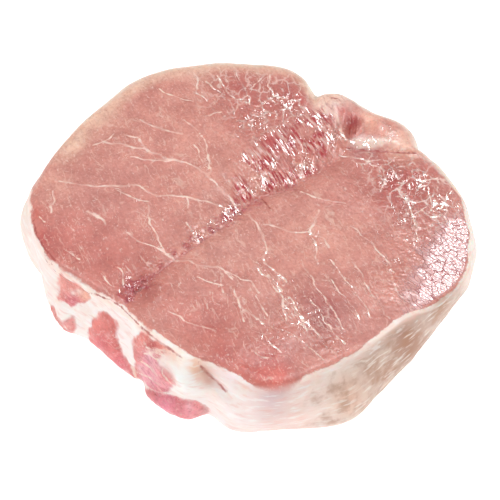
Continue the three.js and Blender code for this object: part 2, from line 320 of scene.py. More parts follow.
# %% Rows of the skin, before its fine relief
def row_shares(steps):
    """Shares from 0 to 1, closer together at both ends."""
    even_share = np.linspace(0, 1, steps + 1)
    share = even_share - END_CROWDING * np.sin(2 * np.pi * even_share) / (2 * np.pi)
    return share**STEP_GROWTH


def on_side(out, high):
    reach = rim + out
    return np.stack([reach * round_x, reach * round_y, high + 0 * rim], axis=-1)


rows = []
for share in row_shares(TOP_STEPS):
    x = mix(slit_x, face_end * round_x, share)
    y = mix(slit_y, face_end * round_y, share)
    settle = ramp(share, SETTLE_FROM, 1) ** 2
    rows.append(np.stack([x, y, mix(face_height(x, y, slit_y), rim_height, settle)], axis=-1))
for bend in np.linspace(0, np.pi / 2, EDGE_STEPS + 1)[1:]:
    high = rim_height - radius * (1 - np.cos(bend))
    rows.append(on_side(side_offset(angle, high) - radius * (1 - np.sin(bend)), high))
for share in np.linspace(0, 1, SIDE_STEPS + 1)[1:]:
    high = mix(rim_height - radius, UNDER_EDGE, share)
    rows.append(on_side(side_offset(angle, high), high))
for bend in np.linspace(0, np.pi / 2, FOOT_STEPS + 1)[1:]:
    high = UNDER_EDGE * (1 - np.sin(bend)) + 0 * angle
    rows.append(on_side(side_offset(angle, high) - UNDER_EDGE * (1 - np.cos(bend)), high))
foot = rows[-1]
slit = np.stack([slit_x, slit_y, 0 * slit_x], axis=-1)
for share in np.linspace(1, 0, UNDER_STEPS + 1)[1:]:
    rows.append(mix(slit, foot, share))
skin = np.array(rows)
skin[..., :2] -= RAW_MIDDLE
ROWS = len(skin)
print("skin of", ROWS, "rows and", COLUMNS, "columns")

# %% Where each point lies
MEAN_REACH = 58  # millimetres from the middle to the side
EDGE_MIDDLE = TOP_STEPS + EDGE_STEPS // 2
LAST_SIDE = ROWS - 1 - UNDER_STEPS  # the row where the side turns under
GRID = (ROWS, COLUMNS)
lane = np.broadcast_to(slit_y, GRID)
degrees = np.broadcast_to(angle, GRID)
row_number = np.arange(ROWS)[:, None]
on_face = row_number <= TOP_STEPS
on_wall = (row_number > TOP_STEPS) & (row_number <= LAST_SIDE)
under = row_number > LAST_SIDE
steps_out = np.linalg.norm(np.diff(skin, axis=0), axis=-1)
travelled = np.concatenate([np.zeros((1, COLUMNS)), np.cumsum(steps_out, axis=0)])
from_rim = travelled[EDGE_MIDDLE] - travelled  # above 0 on the face, below 0 on the side
from_foot = travelled - travelled[LAST_SIDE]  # above 0 on the underside
pixels = pixel_of(skin.reshape(-1, 3)).reshape(*GRID, 2)
raw_x = skin[..., 0] + RAW_MIDDLE[0]
raw_y = skin[..., 1] + RAW_MIDDLE[1]
from_fold = raw_x - fold_line(raw_y)
around = np.radians(degrees) * MEAN_REACH  # millimetres round the side
print("the side is", (travelled[LAST_SIDE] - travelled[TOP_STEPS]).mean().round(1), "mm long")


# %% Places in the picture
def spot(x, y, reach, strength=1.0):
    """Its strength at a place of the picture, fading to nothing at about twice its reach."""
    return strength * swell(np.linalg.norm(pixels - (x, y), axis=-1), reach)


def spots(places):
    """The strongest of several such spots."""
    return np.max([spot(*place) for place in places], axis=0)


def pairs(numbers):
    """A row of numbers as places in the picture, x and y by turns."""
    return np.reshape(np.array(numbers, float), (-1, 2))


# %% [markdown]
# ## Muscles, fat and silverskin
#
# A cut through meat shows borders: lean against fat, muscle against muscle. Borders are
# kept as distances in millimetres, above 0 inside the lean, because a distance can be
# spread evenly between the points of the skin and still gives a sharp line in the material.
#
# Where a border, a line or a spot of colour lies was read off in the picture, in pixels
# from its upper left corner. In these tables the x and y of a place stand close together.

# %% Distance inside a patch
TINY = 1e-9


def rounded(corners, rounds=2):
    """Cuts the corners of an outline, so that it turns softly."""
    for _ in range(rounds):
        after = np.roll(corners, -1, axis=0)
        cut = [mix(corners, after, 0.25), mix(corners, after, 0.75)]
        corners = np.stack(cut, axis=1).reshape(-1, 2)
    return corners


def inside_patch(points, corners):
    """Distance from the outline of a patch in millimetres, above 0 inside it."""
    corners = rounded(pairs(corners))
    nearest = np.full(points.shape[:-1], np.inf)
    inside = np.zeros(points.shape[:-1], bool)
    for a, b in zip(corners, np.roll(corners, -1, axis=0)):
        edge = b - a
        share = np.clip(((points - a) @ edge) / (edge @ edge), 0, 1)
        gap = np.linalg.norm(points - a - share[..., None] * edge, axis=-1)
        nearest = np.minimum(nearest, gap)
        crosses = (a[1] > points[..., 1]) != (b[1] > points[..., 1])
        slope = edge[0] / (edge[1] if abs(edge[1]) > TINY else TINY)
        inside ^= crosses & (points[..., 0] < a[0] + (points[..., 1] - a[1]) * slope)
    return np.where(inside, nearest, -nearest) * MM_PER_PIXEL


# %% Rib muscles of the near side
RIB_MUSCLES = {  # corners in the picture
    "wedge": [58,271, 72,278, 84,285, 92,295, 84,302, 77,305, 69,307, 58,302, 57,291],
    "button": [64,318, 70,316, 75,320, 76,328, 72,332, 66,330, 62,324],
    "foot": [51,304, 55,314, 60,322, 67,330, 75,334, 73,338, 60,330, 50,316],
    "oval": [88,336, 92,321, 99,311, 108,312, 117,326, 118,343, 121,356, 132,366, 139,374,
             136,382, 120,372, 104,358, 92,348],
    "hollow": [134,335, 143,332, 154,337, 166,344, 177,353, 172,357, 163,355, 158,360, 165,367,
               172,374, 175,383, 171,391, 159,395, 146,388, 137,374, 133,350],
    "roll": [138,381, 148,388, 160,394, 172,397, 185,400, 197,402, 206,407, 209,411, 204,418,
             190,424, 170,417, 150,402, 138,390],
}  # fmt: skip
NEAR_SIDE = (-128, -48)  # angles
NO_RIB = -9.0
RIB_WAVES = [(0.4, 2.2, 31), (0.3, 1.2, 32)]  # height, size, seed
near_wall = on_wall & (degrees > NEAR_SIDE[0]) & (degrees < NEAR_SIDE[1])
rib = np.full(GRID, NO_RIB)
for name, corners in RIB_MUSCLES.items():
    gap = np.where(near_wall, inside_patch(pixels, corners), NO_RIB)
    rib = np.maximum(rib, gap)
    print("rib muscle", name, "covers", int((gap > 0).sum()), "points")
rib = rib + waves(around, skin[..., 2], RIB_WAVES)

# %% Border of the lean
LEAN_EDGE = [  # the near edge of the lean as it shows, from the left to the right
    32,196, 32,213, 34,227, 41,242, 51,255, 63,265, 75,273, 88,282, 100,290, 112,298, 124,305,
    134,313, 143,321, 155,331, 165,337, 176,345, 186,351, 198,358, 210,362, 225,368, 240,375,
    250,382, 262,387, 274,389, 283,389, 290,386, 296,380, 304,374, 314,369, 328,366, 340,359,
    349,354, 360,348, 391,322, 405,312, 417,304, 430,295, 440,288, 454,283, 460,277, 468,264,
    470,258, 466,247, 463,217,
]  # fmt: skip
FAR_SIDE = [440, 130, 250, 20, 60, 60]  # closes the outline somewhere beyond
EDGE_SEEN = (-146, -138, -2, 10)  # angles between which that edge can be seen
LEAN_BANDS = [  # angle, how much further in the lean ends elsewhere, reach
    (35, 1.2, 14), (62, 1.6, 9), (88, 1.5, 12), (114, 2.4, 8), (140, 2.0, 14), (168, 1.4, 12),
    (-152, -2.6, 9),
]  # fmt: skip
WIDEST_BAND = 4
UNDER_BAND = 2.6  # fat round the underside
ROWS_IN, ROWS_OUT, SMOOTHED_COLUMNS = 25, 18, 5  # where the border is looked for
seen_rows = slice(TOP_STEPS - ROWS_IN, TOP_STEPS + EDGE_STEPS + ROWS_OUT)
edge_gap = inside_patch(pixels[seen_rows], LEAN_EDGE + FAR_SIDE)
crossing = np.argmax(edge_gap < 0, axis=0)
seen_band = np.take_along_axis(from_rim[seen_rows], crossing[None], axis=0)[0]
evenly = np.ones(SMOOTHED_COLUMNS) / SMOOTHED_COLUMNS
seen_band = np.convolve(np.tile(seen_band, 3), evenly, "same")[COLUMNS:-COLUMNS]
band = sum(by * swell(turn(angle, at), over) for at, by, over in LEAN_BANDS)
shows = stretch(angle, *EDGE_SEEN) * (edge_gap.min(0) < 0)
band = mix(band, np.clip(seen_band, -WIDEST_BAND, WIDEST_BAND), shows)
lean_in = np.where(under, from_foot - UNDER_BAND, from_rim - band)
lean_in = np.maximum(lean_in, rib)
print("lean covers", round(100 * float((lean_in > 0).mean())), "percent of the points")

# %% Soft borders, and two strips of fat along the rim
SOFT_LEFT, SOFT_FLAP = (155, 45, 1.0), (80, 25, 0.7)  # angle, reach, softness
SOFT_RIB, SOFT_HOLLOW, SOFT_FRONT = 0.2, (172, 368, 13, 0.6), (280, 388, 22, 0.7)
LIP_ANGLES, LIP_WIDTH = (-147, -140, -74, -66), (-0.2, 0.2, 2.0, 2.5)
STRIP_ANGLES, STRIP_WIDTH = (-34, -24, 6, 14), (-0.2, 0.2, 1.2, 1.9)
round_rim = [by * swell(turn(degrees, at), over) for at, over, by in (SOFT_LEFT, SOFT_FLAP)]
edge_soft = np.maximum(*round_rim)
edge_soft = np.where(near_wall & (rib > -2), SOFT_RIB + spot(*SOFT_HOLLOW), edge_soft)
edge_soft = np.maximum(edge_soft, spot(*SOFT_FRONT))
past_edge = band - from_rim  # how far beyond the border of the lean
lip = stretch(degrees, *LIP_ANGLES) * stretch(past_edge, *LIP_WIDTH)
strip = stretch(degrees, *STRIP_ANGLES) * stretch(past_edge, *STRIP_WIDTH)
print("the near lip covers", int((lip > 0.5).sum()), "points")

# %% [markdown]
# ## Fine relief
#
# A knife leaves loin meat almost flat, but not quite: bundles of fibres stand a little
# proud, fibres tear where the two lobes were pulled apart, and beads of torn tissue sit on
# the fold. Random bumps come from a table of random heights, smoothly joined, and always
# from the same seed.


# %% Fibre bundles
GRAIN_TURN = np.radians(-22.5)  # the way that the fibres lie across both lobes
BUNDLE_HIGH, BUNDLE_MM = 0.10, 5.0
THIN_BUNDLE_HIGH, THIN_BUNDLE_MM = 0.05, 3.0
RIM_FREE = (0.5, 4)  # nothing of it at the edge


def laid(way_turn):
    """How far each point lies along a way over the face, and across it."""
    along = raw_x * np.cos(way_turn) + raw_y * np.sin(way_turn)
    return along, raw_y * np.cos(way_turn) - raw_x * np.sin(way_turn)


grain_along, grain_across = laid(GRAIN_TURN)
inland = ramp(from_rim, *RIM_FREE)
bundles = BUNDLE_HIGH * uneven(grain_along, grain_across, BUNDLE_MM, 1)
bundles += THIN_BUNDLE_HIGH * uneven(grain_along, 2 * grain_across, THIN_BUNDLE_MM, 2)
print("fibre bundles rise and fall by", bundles.std().round(3), "mm")

# %% Torn slope left of the far half of the fold
TEAR_TURN = np.radians(-15)  # the way that the torn fibres lie
TEAR_SPAN, FRAY_SPAN = (-17, -5, 23, 31), (-9, 0, 26, 34)  # lanes
TEAR_NARROW, TEAR_WIDE = 3, 14  # how far it reaches at its near end and beyond
WANDER = 0.7  # how far its fibres bend aside
STRAND_LONG, STRAND_WIDE, THIN_LONG, THIN_WIDE = 5.0, 1.1, 3.5, 0.6
RAGGED_HIGH, THIN_HIGH, THICK_HIGH, FINGER_HIGH, FRAY_CUT = 0.25, 0.10, 0.10, 0.32, 0.35
WHOLE_FLESH = (333, 101, 13, 0.85)  # untorn, beside the flap
STREAKY_FLESH = [(152, 366, 13, 0.35), (160, 384, 12, 0.35), (70, 300, 7, 0.35)]
tear_along, tear_across = laid(TEAR_TURN)
wander = tear_across + WANDER * uneven(raw_x, raw_y, 5.0, 4)
tear_reach = mix(TEAR_NARROW, TEAR_WIDE, ramp(lane, -5, 9))
torn = stretch(-from_fold, 0.3, 2.0, tear_reach, 1.7 * tear_reach)
torn = torn * stretch(lane, *TEAR_SPAN) * on_face
ragged = uneven(tear_along, wander, 4.5, 3)
thick_strands = uneven(tear_along / STRAND_LONG, wander / STRAND_WIDE, 1, 11)
thin_strands = uneven(tear_along / THIN_LONG, wander / THIN_WIDE, 1, 12)
fingers = stretch(-from_fold, 0.2, 1.5, 5, 11) * torn
torn_relief = torn * (RAGGED_HIGH * ragged + THIN_HIGH * thin_strands)
torn_relief += (THICK_HIGH * torn + FINGER_HIGH * fingers) * thick_strands
finger_ends = 0.9 + 0.8 * uneven(wander / STRAND_WIDE, 0 * lane, 1, 13)
fray = stretch(lane, *FRAY_SPAN) * swell(-from_fold - finger_ends, 0.6) * on_face
torn_relief -= FRAY_CUT * fray
torn = torn * ramp(ragged + 0.6, 0, 0.6) * (1 - spot(*WHOLE_FLESH))
torn = np.maximum(torn, spots(STREAKY_FLESH) * near_wall)
print("torn fibres cover", int((torn > 0.3).sum()), "points")

# %% Crease of the fold and the beads on it
CREASE_DEEP, CREASE_HALF, CREASE_SPAN = 0.25, 0.45, (-54, -50, 34, 37)
FAR_CREASE = 0.3  # how much of it is left beyond the middle
BEAD_CLUSTERS = [  # x, y, reach in mm, number
    (124,296, 1.6, 24), (128,289, 2.2, 40), (132,281, 2.4, 40), (142,279, 1.8, 16),
    (150,274, 1.2, 4), (164,264, 1.2, 3), (176,251, 1.8, 10), (186,243, 1.6, 8),
    (198,236, 1.8, 10), (209,227, 1.6, 12), (221,219, 2.4, 18), (232,211, 2.4, 14),
    (244,204, 2.6, 16), (258,199, 2.0, 10), (290,183, 2.2, 12),
]  # fmt: skip
BEAD_SPREAD, BEAD_SIZES, BEAD_HEIGHTS = 0.6, (0.3, 0.7), (0.2, 0.5)
BEAD_LIMIT, BEAD_REACH = 0.8, 4.5
crease_ends = stretch(raw_y, *CREASE_SPAN) * mix(1, FAR_CREASE, ramp(raw_y, 3, 12))
crease_uneven = 0.7 + 0.5 * uneven(raw_y, raw_y, 5.0, 5)
crease = -CREASE_DEEP * swell(from_fold + 0.4, CREASE_HALF) * crease_ends * crease_uneven
rng = np.random.default_rng(7)
beads = np.zeros(GRID)
for x, y, reach, number in BEAD_CLUSTERS:
    middle = face_point([(x, y)])[0]
    for _ in range(number):
        at = middle + rng.normal(0, reach * BEAD_SPREAD, 2)
        size, high = rng.uniform(*BEAD_SIZES), rng.uniform(*BEAD_HEIGHTS)
        beads += high * swell(np.hypot(skin[..., 0] - at[0], skin[..., 1] - at[1]), size)
beads = np.minimum(beads, BEAD_LIMIT) * on_face * swell(from_fold, BEAD_REACH)
print("beads cover", int((beads > 0.1).sum()), "points")

# %% Groove between the lean and the near fat, and the side's own unevenness
GROOVE_DEEP, GROOVE_HALF, GROOVE_ANGLES = 0.12, 0.4, (-128, -118, -72, -60)
WALL_WAVES = [(0.28, 7.0, 8), (0.16, 3.0, 9)]  # height, size, seed
RIB_HIGH, RIB_SEAM, LIP_HIGH = 0.45, 0.25, 0.35
NEAR_LIP = (-106, 12, 0.9)  # angle, reach, height
BULGES = [  # x, y, reach in pixels, height
    (228,374, 11, 0.2), (162,361, 7, 0.6), (75,295, 9, -0.5), (104,330, 9, 0.5),
    (150,344, 8, 0.4), (120,345, 6, -0.4),
]  # fmt: skip
groove = -GROOVE_DEEP * stretch(degrees, *GROOVE_ANGLES) * swell(past_edge, GROOVE_HALF)
groove = groove * (0.6 + 0.6 * uneven(degrees, degrees, 4, 6))
wall_in = ramp(-from_rim, 0.5, 3) * on_wall
rib_relief = RIB_HIGH * ramp(rib, -0.3, 1.6) - RIB_SEAM * swell(rib, 0.5)
wall_relief = wall_in * (waves(around, skin[..., 2], WALL_WAVES) + rib_relief)
wall_relief = wall_relief + LIP_HIGH * lip * on_wall
lip_at, lip_over, lip_high = NEAR_LIP
near_lip = swell(turn(degrees, lip_at), lip_over) * stretch(from_rim, -5, -2.5, 1, 8)
wall_relief = wall_relief + lip_high * near_lip
for bulge in BULGES:
    wall_relief = wall_relief + wall_in * near_wall * spot(*bulge)
face_relief = (bundles * inland + torn_relief + crease + beads) * on_face
skin[..., 2] += face_relief + groove
skin[..., 0] += wall_relief * round_x
skin[..., 1] += wall_relief * round_y
print("relief of the side:", wall_relief.min().round(2), "to", wall_relief.max().round(2), "mm")

# %% [markdown]
# ## Veins of fat, and creases with painted shade
#
# Marbling is fat between the bundles of fibres. The main veins branch from the fold like
# the veins of a leaf. Each is a line of a few points, read off where it shows. A point of
# the skin keeps the way to its nearest vein, so that a line thinner than a patch of the
# skin still comes out sharp. The creases are kept in the same way: their dark colour is
# painted shade in cracks and cuts, partly the dark red of the flesh in them.

# %% Main veins: width in mm, then points in the picture
VEINS = [
    (0.42, 104,142, 140,150, 172,160, 195,166, 209,179, 228,195, 239,206),
    (0.3, 92,146, 104,142, 114,135), (0.35, 126,136, 138,139, 143,147, 150,153),
    (0.35, 131,159, 158,162, 172,160), (0.32, 140,120, 152,126, 163,129, 174,133, 182,135),
    (0.3, 183,120, 192,126, 198,132), (0.32, 201,136, 207,148, 210,160, 211,171, 208,178),
    (0.2, 196,146, 200,158, 206,169),
    (0.42, 89,187, 115,186, 139,186, 158,196, 176,196, 188,197, 220,205, 238,211),
    (0.3, 60,181, 75,184, 89,187), (0.3, 118,190, 128,197, 148,202), (0.32, 188,197, 188,209),
    (0.35, 187,222, 194,232, 197,240), (0.35, 148,206, 150,224, 163,248, 175,259),
    (0.32, 128,233, 140,241, 160,249, 172,252), (0.4, 88,211, 97,216, 106,224),
    (0.24, 38,217, 45,222), (0.24, 54,190, 54,200, 49,206, 50,214),
    (0.22, 67,250, 75,254, 80,258), (0.24, 117,265, 122,272, 122,285),
    (0.22, 102,272, 107,280, 113,285), (0.22, 125,265, 132,272), (0.22, 141,256, 148,262),
    (0.36, 195,71, 199,80, 197,93, 207,101), (0.28, 158,89, 172,95, 195,102),
    (0.26, 206,80, 216,88, 222,94), (0.32, 218,74, 224,86, 229,95, 243,99),
    (0.32, 238,70, 240,82, 248,92, 250,104), (0.3, 205,117, 214,114, 222,112),
    (0.3, 270,72, 268,84, 274,94, 286,98), (0.26, 252,88, 258,80, 263,76),
    (0.45, 240,209, 252,216, 266,245, 264,264), (0.28, 264,264, 274,270, 285,283),
    (0.34, 257,269, 268,280, 276,291, 282,298, 284,311, 287,322), (0.24, 266,272, 272,286),
    (0.24, 277,277, 281,292), (0.24, 235,288, 239,304, 244,321),
    (0.24, 222,276, 220,284, 224,293), (0.22, 255,296, 260,306, 267,317),
    (0.34, 289,298, 297,311, 306,323, 314,331, 320,339), (0.28, 288,307, 297,319, 307,331),
    (0.26, 276,328, 294,335, 307,347, 320,356, 328,361), (0.28, 324,344, 333,350, 341,357),
    (0.38, 262,224, 274,224, 291,232, 309,234, 322,238, 330,248),
    (0.34, 319,211, 315,225, 309,234, 317,248, 316,265),
    (0.38, 340,150, 360,158, 381,164, 386,182, 380,192), (0.34, 400,152, 392,160, 383,164),
    (0.32, 176,259, 188,260, 198,264, 223,269, 232,280),
    (0.28, 350,226, 367,239, 383,256, 395,272), (0.28, 225,271, 240,278, 250,282, 258,293),
    (0.22, 212,292, 214,300, 218,304), (0.2, 206,298, 208,308), (0.2, 195,298, 196,306),
    (0.24, 240,308, 252,314, 263,323), (0.24, 310,300, 320,314, 332,331, 345,344),
    (0.26, 300,192, 318,198, 345,203), (0.24, 330,262, 352,288, 372,318),
    (0.5, 398,196, 408,199, 416,203), (0.3, 408,203, 413,214, 416,228, 419,242),
    (0.4, 422,209, 432,217, 443,215), (0.3, 420,187, 425,180, 437,178),
    (0.3, 427,188, 432,200, 431,210), (0.26, 440,209, 448,199, 452,191),
    (0.24, 390,270, 398,292, 408,306), (0.24, 198,277, 212,284, 223,286),
    (0.22, 168,312, 190,322, 216,330), (0.22, 300,262, 312,282, 330,306, 344,330),
    (0.24, 352,262, 366,284, 378,302, 388,318), (0.22, 330,282, 346,300, 360,320),
    (0.22, 262,334, 270,344, 280,352), (0.2, 254,351, 264,356, 275,357),
    (1.9, 350,140, 362,143, 376,143, 387,141), (0.6, 334,112, 342,128, 350,139),
]  # fmt: skip
print(len(VEINS), "veins")

# %% Pale lines of the side, and creases darkened by painted shade
SIDE_LINES = [
    (0.45, 128,338, 130,352, 133,366, 138,380),
    (0.26, 140,384, 152,389, 168,394, 184,398, 200,399), (0.3, 150,352, 158,358, 163,366),
    (0.3, 143,360, 152,366, 158,375), (0.3, 148,345, 160,349, 170,352),
    (0.35, 146,352, 156,350, 166,356), (0.3, 140,372, 150,376, 160,384),
    (0.4, 184,368, 190,364, 200,368), (0.3, 163,372, 170,380, 176,390),
    (0.35, 215,402, 235,412, 252,424), (0.3, 226,398, 246,408, 268,424),
    (0.3, 255,402, 262,407, 286,404),
]  # fmt: skip
# Creases, cracks and the crevice: width in mm, then points in the picture; their dark colour is
# painted shade, partly the dark red of the flesh in them.
SHADED_CREASES = [
    (0.4, 33,208, 34,222, 38,236, 47,249, 58,260),
    (0.35, 98,292, 104,296, 112,299, 122,306, 132,316, 140,324),
    (0.6, 143,327, 150,333, 158,340, 166,346, 174,352, 182,358), (0.3, 48,257, 54,265, 58,272),
    (0.3, 58,272, 70,279, 82,286, 93,292), (0.9, 201,366, 207,372, 212,377),
    (0.7, 212,377, 219,383, 226,391), (0.45, 345,147, 366,150, 395,152, 418,153),
    (0.45, 332,97, 340,98, 350,103, 357,108, 366,113), (0.4, 352,114, 351,124, 349,134),
    (0.35, 357,116, 357,126, 355,134), (0.4, 235,208, 239,211, 244,215),
    (0.45, 262,199, 266,203, 270,208),
]  # fmt: skip
print(len(SIDE_LINES), "pale lines on the side,", len(SHADED_CREASES), "dark creases")

# %% The way from each point to its nearest line
FAR, LINE_REACH = 9.0, 1.1
WAVY_MM, WAVY_BY = 2.2, 0.55
VEIN_HIGH, CREASE_CUT, LINE_HALF = 0.05, 0.25, 0.5


def nearest_way(points, lines, mask, known=None):
    """The way from each point to the nearest line, with the line's width, and its length."""
    way, gap = known or (np.full(GRID + (3,), FAR), np.full(GRID, FAR))
    for width, line in lines:
        for a, b in zip(line, line[1:]):
            edge = b - a
            offset = points - a
            share = np.clip((offset @ edge) / (edge @ edge), 0, 1)
            offset = offset - share[..., None] * edge
            length = np.hypot(offset[..., 0], offset[..., 1])
            closer = (length < gap) & (length < LINE_REACH + width / 2) & mask
            gap = np.where(closer, length, gap)
            widths = np.full(gap.shape + (1,), width)
            way[closer] = np.concatenate([offset, widths], axis=-1)[closer]
    return way, gap


def in_picture(lines):
    """Lines as they show, in millimetres of the picture."""
    return [(width, pairs(line) * MM_PER_PIXEL) for width, *line in lines]


on_the_face = [(width, face_point(pairs(line))) for width, *line in VEINS]
shown = pixels * MM_PER_PIXEL
wavy = np.stack([uneven(raw_x, raw_y, WAVY_MM, seed) for seed in (21, 22)], axis=-1)
wavy = skin[..., :2] + WAVY_BY * wavy
known = nearest_way(wavy, on_the_face, on_face)
vein_way, vein_gap = nearest_way(shown, in_picture(SIDE_LINES), near_wall, known)
crease_shade_way, crease_gap = nearest_way(shown, in_picture(SHADED_CREASES), on_face | near_wall)
vein_relief = VEIN_HIGH * swell(vein_gap, LINE_HALF) * inland
skin[..., 2] += (vein_relief - CREASE_CUT * swell(crease_gap, LINE_HALF)) * on_face
print(int((vein_gap < 1).sum()), "points lie within a millimetre of a vein")

# %% [markdown]
# ## Colours of the flesh
#
# Loin is a dull pink that turns redder near the rib side and darker red along the torn fold,
# where blood stays and painted shade darkens the crease, and greyer where the surface has
# dried. A few wide, soft touches of colour are enough for that; a few small ones are painted
# highlights and painted shade. They are given as ordinary sRGB hex colours and turned to the
# linear values that a renderer needs by one function.


# %% Colour helpers
def linear(text):
    """An sRGB hex colour as three linear values."""
    value = np.array([int(text[i : i + 2], 16) for i in (1, 3, 5)]) / 255
    return np.where(value <= 0.04045, value / 12.92, ((value + 0.055) / 1.055) ** 2.4)


def painted(base, touches):
    """A base colour with soft touches: x, y, reach, strength and colour of each."""
    colour = np.broadcast_to(linear(base), skin.shape)
    for *place, text in touches:
        colour = mix(colour, linear(text), spot(*place)[..., None])
    lowest, highest = colour.min((0, 1)).round(2), colour.max((0, 1)).round(2)
    print(len(touches), "touches paint colours from", lowest, "to", highest)
    return colour


# %% Touches of the lean
LEAN_BASE = "#d08d81"
LEAN_TOUCHES = [
    (90,200, 45, 0.7, "#c98a81"), (110,270, 50, 0.9, "#c8756b"), (70,235, 26, 0.7, "#cf766d"),
    (200,130, 45, 0.6, "#d9998b"), (250,100, 34, 0.8, "#cb8077"), (295,100, 26, 0.7, "#cf837b"),
    (290,150, 34, 0.6, "#c97f78"), (215,175, 30, 0.6, "#da9c8e"), (215,240, 30, 0.7, "#d2988b"),
    (325,235, 46, 0.8, "#dd9f90"), (235,290, 40, 0.5, "#d2958a"), (370,285, 40, 0.6, "#d08a7d"),
    (215,330, 34, 0.8, "#c46b61"), (224,356, 13, 0.8, "#bf5650"), (245,370, 11, 0.8, "#dc6a5c"),
    # The dark touches at 325,312, 312,300 and 329,322 are a painted shadow band.
    (270,365, 30, 1.0, "#bb564e"), (180,320, 24, 0.6, "#cc766c"), (325,312, 28, 0.9, "#a9534e"),
    (312,300, 11, 0.6, "#a8544e"), (329,322, 12, 0.6, "#a8544e"), (400,185, 34, 0.9, "#bb625d"),
    (345,190, 26, 0.4, "#cd847c"), (430,240, 34, 0.5, "#d2908a"), (100,120, 30, 0.6, "#dba494"),
    (330,105, 20, 0.9, "#ebbcae"), (334,102, 17, 1.0, "#ffeee4"), (369,120, 12, 0.9, "#ffd0ba"),
    # The near-white touches at 384,127, 393,135 and 397,142 are painted highlights on the flap.
    (360,142, 7, 1.0, "#fff0f0"), (376,142, 6, 1.0, "#fff0f0"), (384,127, 5, 0.8, "#fff0f0"),
    (393,135, 5, 0.8, "#fff0f0"), (397,142, 4, 0.8, "#fff0f0"), (353,122, 9, 1.0, "#b23e48"),
    (343,112, 8, 0.8, "#cf6f6c"), (358,151, 8, 0.8, "#ab6466"), (373,153, 8, 0.7, "#ab6466"),
    (384,130, 12, 0.7, "#e89c88"), (405,145, 16, 0.9, "#fad0ba"), (144,284, 16, 0.8, "#b3625d"),
    (261,374, 8, 0.7, "#dd6257"), (282,373, 7, 0.6, "#dd6257"), (100,256, 20, 0.5, "#c06a62"),
    (270,142, 6, 0.8, "#c9474c"), (300,101, 6, 0.8, "#cb4f50"), (238,88, 10, 0.6, "#b8625e"),
    (284,99, 13, 0.6, "#ba605d"), (36,214, 9, 0.8, "#c4594f"), (44,238, 12, 0.9, "#ba4e4a"),
    (56,256, 10, 0.7, "#bf5c54"), (52,180, 22, 0.6, "#dfa898"), (275,382, 11, 0.8, "#ea7263"),
    (340,355, 16, 0.5, "#d68c80"), (200,70, 16, 0.5, "#f3cdb8"), (217,192, 13, 0.6, "#bf8177"),
]  # fmt: skip
face_colour = painted(LEAN_BASE, LEAN_TOUCHES)

# %% Touches of the rib muscles
RIB_BASE = "#e5827c"
RIB_TOUCHES = [
    (62,284, 12, 1.0, "#ee9c90"), (84,296, 9, 0.9, "#f4c3a9"), (74,303, 9, 0.9, "#dd6377"),
    (68,323, 9, 1.0, "#efa09e"), (100,322, 10, 0.9, "#e67a70"), (103,343, 12, 1.0, "#dd525e"),
    (120,364, 12, 0.9, "#dc5c70"), (145,340, 10, 0.9, "#e8857b"), (153,346, 9, 1.0, "#c25450"),
    (166,348, 9, 0.9, "#dd8d7e"), (163,362, 7, 0.9, "#fbe9ea"), (172,352, 6, 0.9, "#f6d3bf"),
    (150,360, 10, 0.9, "#e690a6"), (150,378, 12, 1.0, "#eb97ab"), (168,388, 8, 0.8, "#eda3b2"),
    (165,405, 16, 1.0, "#e6849b"), (190,411, 12, 1.0, "#f79caa"), (206,411, 5, 0.8, "#cf9ea2"),
    # The small near-white touches from here on are painted highlights: wet glints on the rib
    # muscles.
    (73,293, 2.6, 0.9, "#fff0ea"), (79,291, 2.6, 0.8, "#ffece4"), (97,315, 3, 0.8, "#ffd9d2"),
    (110,334, 2.6, 0.7, "#fbc4c0"), (103,350, 3, 0.7, "#f9b6b4"), (127,372, 3, 0.8, "#f6dadc"),
    (151,352, 3, 0.8, "#fbe2e6"), (141,366, 3, 0.7, "#f8d3dc"), (189,405, 3.5, 0.7, "#ffd0d6"),
]  # fmt: skip
rib_colour = painted(RIB_BASE, RIB_TOUCHES)

# %% Touches of the fat
FAT_BASE = "#f8eae0"
FAT_TOUCHES = [
    (35,240, 50, 1.0, "#f6e2dd"), (110,340, 60, 0.9, "#fff0ee"), (190,380, 26, 1.0, "#fffaf5"),
    # The brown touches at 203,372, 210,379 and 220,384 are painted shade in the crevice beside the
    # knob.
    (203,372, 8, 1.0, "#c47e62"), (210,379, 8, 1.0, "#c98668"), (220,384, 5, 0.8, "#d99c86"),
    # The greyish touches at 275,430, 262,431 and 292,428 are painted contact shadow along the foot.
    (200,376, 6, 0.5, "#ffe2c8"), (275,430, 28, 1.0, "#b98d86"), (262,431, 12, 1.0, "#a87a78"),
    (292,428, 12, 1.0, "#b08680"), (195,363, 7, 0.9, "#e9bba3"), (462,296, 9, 0.8, "#b4977f"),
    (461,287, 7, 0.8, "#d6b8a8"), (468,276, 6, 0.7, "#e4cfc2"), (438,304, 9, 0.9, "#e4c9a8"),
    (183,381, 9, 0.9, "#fffdf8"), (230,376, 12, 0.8, "#f7e6ec"), (176,356, 6, 0.7, "#f8dcc8"),
    (196,368, 7, 0.9, "#f6c6a8"), (240,415, 44, 1.0, "#fdeae7"), (300,410, 40, 0.9, "#fce0d6"),
    (350,398, 24, 0.9, "#f0c6ae"), (385,370, 26, 0.9, "#b98262"), (410,342, 26, 1.0, "#ae7354"),
    (440,310, 22, 0.9, "#c0927a"), (465,270, 18, 1.0, "#f8e2d4"), (476,230, 24, 1.0, "#fdf1e8"),
    (272,398, 16, 0.9, "#e0c2c4"), (100,108, 40, 0.8, "#ecc9a6"), (60,150, 40, 0.8, "#ebc7a2"),
    (240,64, 60, 0.7, "#f2cfb2"), (370,150, 14, 0.7, "#efd0c8"),
]  # fmt: skip
fat_colour = painted(FAT_BASE, FAT_TOUCHES)

